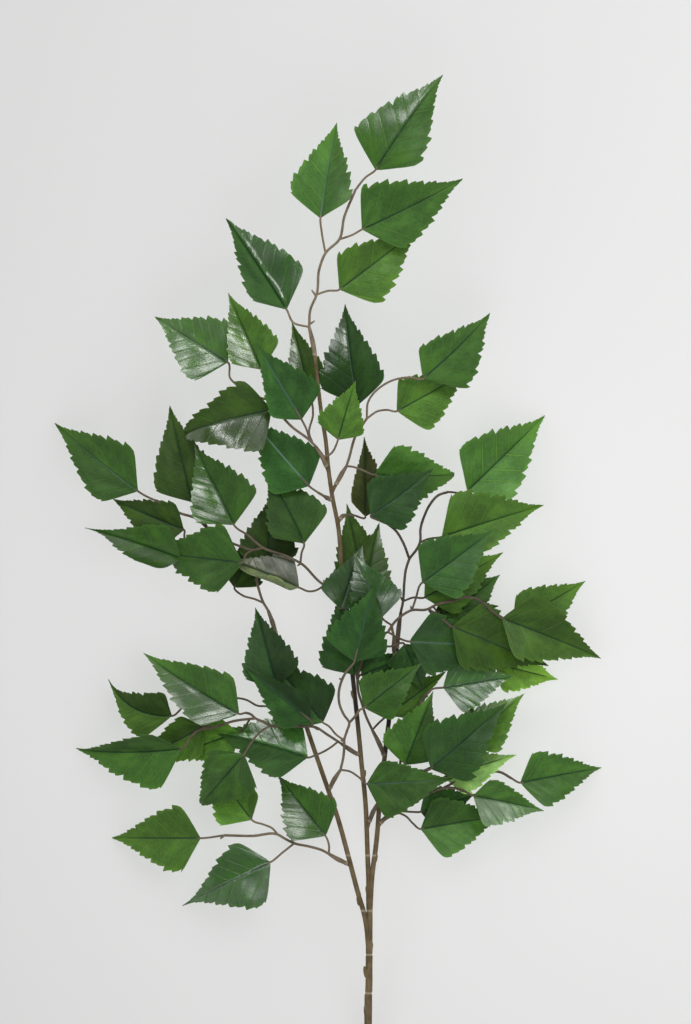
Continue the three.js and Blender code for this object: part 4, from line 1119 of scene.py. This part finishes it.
# %% Centre spray
make_spray("centre_spray", sleeve=(20.4, -6.6, 40.4), wires=[[(23, -2, 40), (25, 3, 39.4)]], leaves=[
    leaf("centre 1", (25, 3), [], (29, 13, 36), (15, 81, 36), (20, 21),
         fold=10, bow=3, tint="olive", light=(1.15, 1.1)),
    leaf("centre 2", (23, -2), [], (27, 2, 44.5), (41, 66, 46), (22, 20),
         fold=10, tint="olive", light=(0.9, 1.05), rough=(0.48, 0.42)),
])

# %% [markdown]
# A single leaf on a wire from the right leg, which lies over the centre.

# %% Centre right leaf
make_spray("centre_right_leaf", sleeve=(52.8, -32, 46.4), wires=[
    [(52.6, -25, 48), (50.6, -16, 50)],
], leaves=[
    leaf("centre right leaf", (50.6, -16), [], (43, -9.6, 58), (20, 42, 65), (22, 22),
         roll=2, fold=10, bow=9, tint="blue", light=(0.7, 1.0), veined=1.1, rough=(0.32, 0.3)),
])

# %% [markdown]
# The left middle spray reaches far to the left. One leaf is rolled to a thin curl at its tip, and
# one has a broad white shine on its upper half.

# %% Left mid spray
make_spray("left_mid_spray", sleeve=(17, -115.4, 36.4), wires=[
    [(10.6, -111, 37), (0, -104, 40), (-11, -97.4, 45.4), (-20, -97, 49), (-35, -96.6, 51.6),
     (-45, -96.4, 52), (-52, -93, 52), (-58, -90.4, 51.6), (-62, -87, 51), (-66, -86, 50.6)],
    [(-58, -90.4, 51.6), (-75, -92.6, 50), (-92, -98, 46), (-104, -100.4, 43), (-110, -106, 40)],
], spurs=[[(-11, -97.4, 45.4), (-8, -99.8, 47)]], leaves=[
    leaf("left mid 1", (-66, -86), [], (-71, -87, 50), (-148, -38.5, 22), (25, 23),
         roll=10, fold=14, bow=8, sway=-3, pale=1.1, light=(0.85, 1.0), veined=0.8, rough=(0.26, 0.6)),
    leaf("left mid 2", (-30, -96.7), [(-49, -81), (-56, -80.6), (-65, -76), (-92, -76), (-115, -81)],
         (-125, -89, 25), (-176.6, -60, 14), (20, 22),
         roll=-16, fold=18, sway=-9, tint="olive", light=(1.6, 0.8), taper=1.2),
    leaf("left mid 3", (-110, -106), [], (-117, -115, 38), (-203, -116, 0.5), (30, 21),
         roll=-26, fold=28, bow=6, light=(1.2, 0.8)),
    leaf("left mid 4", (-92, -98), [], (-99, -97, 34), (-152, -126, 8), (20, 16),
         fold=10, bow=2, tint="olive", light=(1.9, 1.2)),
    leaf("left mid 5", (-62, -92), [], (-72, -102, 31), (-127, -122, 14), (19, 19),
         fold=10, bow=2, tint="fresh", light=(1.75, 1.7), rough=(0.48, 0.6)),
    leaf("left mid 6", (-46, -96), [(-55, -102), (-62, -111)], (-67, -119, 56), (-104, -162, 38), (26, 23),
         fold=14, bow=8, light=(0.75, 0.85), turned=(0.75, 55), rough=(0.6, 0.48)),
    leaf("left mid 7", (8, -109.4), [(2, -114), (-5, -118), (-10, -120)], (-16, -122, 43.5), (-93, -101, 27),
         (27, 28.5),
         roll=25, bow=2, tint="deep", light=(1.2, 2.1), veined=1.3, rough=(0.6, 0.24)),
    leaf("left mid 8", (-11, -97.4), [(-12.2, -96.4, 54)], (-13.6, -92, 61), (-66, -50, 64), (14.5, 19),
         roll=180, fold=8, bow=-4, tint="blue", light=(0.45, 1.0), veined=0.6, rough=(0.48, 0.6)),
    leaf("left mid 9", (-20, -97), [(-32, -82)], (-41, -66, 55), (-58, -2, 48), (23.5, 21.5),
         roll=4, fold=14, tint="deep", light=(0.9, 0.5), veined=1.0, rough=(0.48, 0.6)),
])

# %% [markdown]
# A spray from the left leg that turns back over the centre, with a leaf face down on top of all
# the others.

# %% Left fork side spray
make_spray("left_fork_side_spray", sleeve=(5.2, -139.4, 32.6), shaded=0.3, wires=[
    [(10, -132, 36), (12.2, -122, 41), (13, -113, 44.4), (13, -108, 46), (15, -101, 48.4), (17, -94, 51),
     (13, -88, 53.6), (9, -78, 57.6), (8.6, -70, 60.6), (11, -60, 64), (14.4, -53, 68)],
    [(17, -94, 51), (22, -88.4, 53), (25.4, -83.4, 54)],
], spurs=[[(13, -109, 45.6), (10.2, -108, 47)], [(11.4, -59, 64.4), (9, -58.6, 65.6)]], leaves=[
    leaf("side 1", (10, -132), [(17, -133), (25, -138)], (31, -143, 45), (100, -138.5, 47), (18.5, 27),
         roll=6, bow=5, light=(0.85, 0.7), veined=0.9, rib=0.3),
    leaf("side 2", (13, -108), [(7, -104), (0, -96.4)], (-4, -94, 41), (-50, -39, 42), (23, 24.5),
         fold=6, bow=3, tint="deep", light=(1.8, 0.65), rough=(0.48, 0.6)),
    leaf("side 3", (14.4, -53), [], (21, -45, 71), (37, 17, 73), (22.5, 26),
         roll=180, fold=8, bow=-4, tint="blue", light=(0.8, 1.0), veined=0.5, rib=0.12),
    leaf("side 4", (25.4, -83.4), [], (29, -82, 54.5), (75, -46, 62), (20.5, 20.5),
         fold=10, bow=5, light=0.85, veined=0.5, rough=0.48),
])

# %% [markdown]
# The lower left spray lies nearly level, and its outer two leaves rest on the table.

# %% Lower left spray
make_spray("lower_left_spray", sleeve=(8, -204, 23.4), shaded=0.1, wires=[
    [(0.6, -199.6, 25.6), (-4, -197, 26.6), (-15, -193.6, 28.4), (-27, -191, 30), (-35, -187, 31),
     (-40, -184, 31.4), (-60, -185, 31), (-83, -184.6, 29)],
], spurs=[[(-83, -184.6, 29), (-86.4, -187.4, 29.6)], [(-27, -191, 30), (-29.4, -188, 31.4)]], leaves=[
    leaf("lower left 1", (0.6, -199.6), [(0.8, -193)], (-2, -185, 35), (-40, -137, 22), (25, 23.5),
         roll=2, fold=20, bow=6, light=(0.85, 1.0), veined=1.4, rough=(0.3, 0.6)),
    leaf("lower left 2", (-40, -184), [(-45, -178.6), (-51, -176)], (-61, -172, 36), (-94, -126, 22),
         (23, 17),
         roll=-10, tint="fresh", light=(1.55, 0.9), veined=0.9),
    leaf("lower left 3", (-83, -184.6), [], (-102, -187, 26), (-174, -187.6, 0.5), (26.5, 25.5),
         fold=10, tint="fresh", light=(0.95, 0.8), veined=0.9),
    leaf("lower left 4", (-27, -191), [(-36, -198)], (-46, -206, 32), (-117, -242, 6), (29, 25),
         roll=8, fold=10, bow=6, tint="deep", light=1.4, taper=1.3, veined=1.5, ripple=1.0, rough=0.34),
])

# %% [markdown]
# The lower centre spray forks at its sleeve. One of its leaves is dark and bluish, and the one
# above it has an almost white sheen.

# %% Lower centre spray
make_spray("lower_centre_spray", sleeve=(36, -166, 29.4), wires=[
    [(40.4, -158, 32), (47, -148, 33), (56, -138, 35)],
    [(56, -138, 35), (59, -120, 37.6), (66, -96, 40.6), (76, -74, 43.8)],
    [(56, -138, 35), (68, -136.5, 37.4), (76, -133, 42)],
], leaves=[
    leaf("lower centre 1", (56, -138), [], (61.6, -128, 40), (84, -69, 44), (24.5, 20),
         light=(1.3, 0.65), pale=0.6, veined=0.9, rough=(0.6, 0.48)),
    leaf("lower centre 2", (76, -133), [], (82, -131, 46.5), (143, -78, 46), (28, 27),
         fold=10, bow=7, tint="deep", light=(1.1, 0.95), veined=0.5, rough=0.48),
    leaf("lower centre 3", (68, -136.5), [(88, -127)], (112, -112, 38), (157, -71, 33), (20, 22),
         roll=-14, bow=3, tint="fresh", light=(1.0, 1.1), pale=0.8, rough=(0.36, 0.6)),
    leaf("lower centre 4", (76, -74), [(84, -67)], (92, -66, 46), (148, -57, 34), (23, 22.5),
         roll=-6, bow=2, tint="deep", light=(1.8, 1.6), veined=0.9, rough=(0.36, 0.24)),
])

# %% [markdown]
# The lowest spray on the right ends in a leaf that rests on the table, and hides a pale yellow
# one behind it.

# %% Lower right spray
make_spray("lower_right_spray", sleeve=(48.4, -169.4, 27), wires=[
    [(56, -166.4, 28.4), (68, -159, 31), (84, -149.5, 34.6), (92, -146.6, 36), (100, -146.4, 37.4),
     (109, -149, 38)],
    [(92, -146.6, 36), (108, -139, 32), (125, -134, 30), (138, -134, 29.4), (147, -139, 29)],
], leaves=[
    leaf("lower right 1", (56, -166.4), [(62, -169), (68, -175)], (74, -179.5, 32), (142, -169, 18),
         (22, 26),
         roll=-6, light=(0.75, 1.5), veined=1.2, rough=(0.6, 0.46)),
    leaf("lower right 2", (58, -165.4), [(68, -166)], (74, -166, 23), (118, -152, 12), (19, 19),
         roll=10, fold=10, bow=2, tint="deep", light=(1.6, 0.9)),
    leaf("lower right 3", (109, -149), [], (116, -152.5, 39), (173, -165, 29), (15.5, 22.5),
         roll=-10, light=(1.15, 1.35), rough=(0.6, 0.36)),
    leaf("lower right 4", (147, -139), [], (154, -142.5, 28), (220, -131, 0.5), (21.5, 23),
         roll=-6, bow=3, light=(1.2, 1.1), veined=1.0, rough=(0.6, 0.44)),
    leaf("lower right 5", (84, -149.5), [(88, -143)], (93, -138, 30), (151, -120, 32), (16, 19),
         roll=-12, fold=10, bow=2, tint="pale", light=(0.75, 1.1), rough=(0.6, 0.48)),
])

# %% [markdown]
# The spray lies on a plain pale table. It is one large face, and is declared as stage, so that it
# isn't taken for a part of the spray.

# %% Table
TABLE = 20.0
corners = [(-TABLE, -TABLE, 0), (TABLE, -TABLE, 0), (TABLE, TABLE, 0), (-TABLE, TABLE, 0)]
table_mesh = bpy.data.meshes.new("table")
table_mesh.from_pydata(corners, [], [(0, 1, 2, 3)])
pale_table, net = new_material("pale_table")
net.finish(Base_Color=(0.78, 0.78, 0.78, 1), Roughness=0.9)
table_mesh.materials.append(pale_table)
table = bpy.data.objects.new("table", table_mesh)
bpy.context.scene.collection.objects.link(table)
table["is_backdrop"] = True
print("a table of", 2 * TABLE, "m, so that its edge is never seen")

# %% [markdown]
# Much of the light comes from all round, low down, as from pale walls, and little from straight
# above, so that the shadows are faint and the greens stay deep. Two soft keys stand beyond the top
# of the picture, one to each side. They give the coated leaves their white shine, and a lamp beyond
# the foot fills in. A broad one in front lightens the leaves without a shine of its own. As a
# photographer would flag them off a backdrop, these light the spray alone, so they throw no shadow
# on the table. The table has two lamps for itself: one from the right, and a small one over the
# middle, which takes away the grey that the leaves leave on it.

# %% Lamps
AIM = Vector((0.0, 0.05, 0.03))


def softbox(name, place, size, power, lit, shading=None, shines=True):
    """A soft lamp, in metres and watts, for one collection. One collection or all may stand in its way."""
    light = bpy.data.lights.new(name, "AREA")
    light.shape = "RECTANGLE"
    light.size, light.size_y = size
    light.energy = power
    lamp = bpy.data.objects.new(name, light)
    lamp.location = place
    lamp.rotation_euler = (AIM - lamp.location).to_track_quat("-Z", "Y").to_euler()
    lamp.visible_camera = False
    lamp.visible_glossy = shines
    lamp.light_linking.receiver_collection = lit
    lamp.light_linking.blocker_collection = shading
    bpy.context.scene.collection.objects.link(lamp)
    return lamp


spray_alone = bpy.data.collections.new("spray_alone")
table_alone = bpy.data.collections.new("table_alone")
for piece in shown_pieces():
    spray_alone.objects.link(piece)
table_alone.objects.link(table)
on_spray = [
    softbox("left key", (-1.5, 3.2, 4.8), (1.6, 1.6), 95, spray_alone),
    softbox("right key", (2.0, 2.8, 4.8), (1.6, 1.6), 85, spray_alone),
    softbox("fill", (0.4, -3.6, 3.6), (1.6, 1.2), 36, spray_alone),
    softbox("front", (0.0, 0.0, 5.0), (3.0, 3.0), 85, spray_alone, shines=False),
]
on_table = [
    softbox("backdrop", (2.6, 0.5, 3.2), (2.5, 2.5), 157, table_alone, table_alone),
    softbox("table glow", (0.04, -0.05, 0.28), (0.25, 0.25), 0.22, table_alone, table_alone),
]
print("lamps on the spray:", len(on_spray), "and on the table:", len(on_table))

# %% [markdown]
# The room round the table is a plain glow, brightest low down all round and almost dark overhead.

# %% Room
FROM_SIDES, FROM_ABOVE = 0.9, 0.05
world = bpy.data.worlds.new("pale_room")
world.use_nodes = True
world.node_tree.nodes.clear()
net = Net(world.node_tree)
height_seen = net.three(net.node("TexCoord", output="Generated"))[2]
strength = net.ramp(height_seen, 0.35, 0.75, FROM_SIDES, FROM_ABOVE)
glow = net.node("Background", {"Color": (1.0, 1.0, 0.99, 1), "Strength": strength})
net.add("OutputWorld", {"Surface": glow})
bpy.context.scene.world = world
bpy.context.scene.view_settings.view_transform = "Standard"
print("room light:", FROM_SIDES, "from the sides,", FROM_ABOVE, "from above")

# %% [markdown]
# The camera looks straight down from far off, as the real spray was seen from the front. A picture
# point is 0.8 mm wide, so the picture is 819.2 mm high, and the lens follows from the distance.

# %% Camera
DISTANCE = 8.0
HALF_SPRAY_HIGH = 0.04
PICTURE_HIGH = 0.8192
SENSOR = 36.0
MIDDLE = metres([14.0, 74.4, 0.0])
camera_data = bpy.data.cameras.new("camera")
camera_data.sensor_fit = "VERTICAL"
camera_data.sensor_height = SENSOR
camera_data.sensor_width = SENSOR
camera_data.lens = SENSOR * DISTANCE / PICTURE_HIGH
camera_data.clip_end = 60.0
camera = bpy.data.objects.new("camera", camera_data)
camera.location = (MIDDLE[0], MIDDLE[1], DISTANCE + HALF_SPRAY_HIGH)
bpy.context.scene.collection.objects.link(camera)
bpy.context.scene.camera = camera
print("lens", round(camera_data.lens, 1), "mm at", DISTANCE, "m")

# %% [markdown]
# Last, the dressed spray's box is set beside the packed model's, to see that nothing grew.

# %% Size
low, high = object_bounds()
boxes = {"cad": [list(cad_low), list(cad_high)], "visual": [list(low), list(high)]}
print("cad box", [round(x, 4) for x in cad_high - cad_low], "dressed", [round(x, 4) for x in high - low])
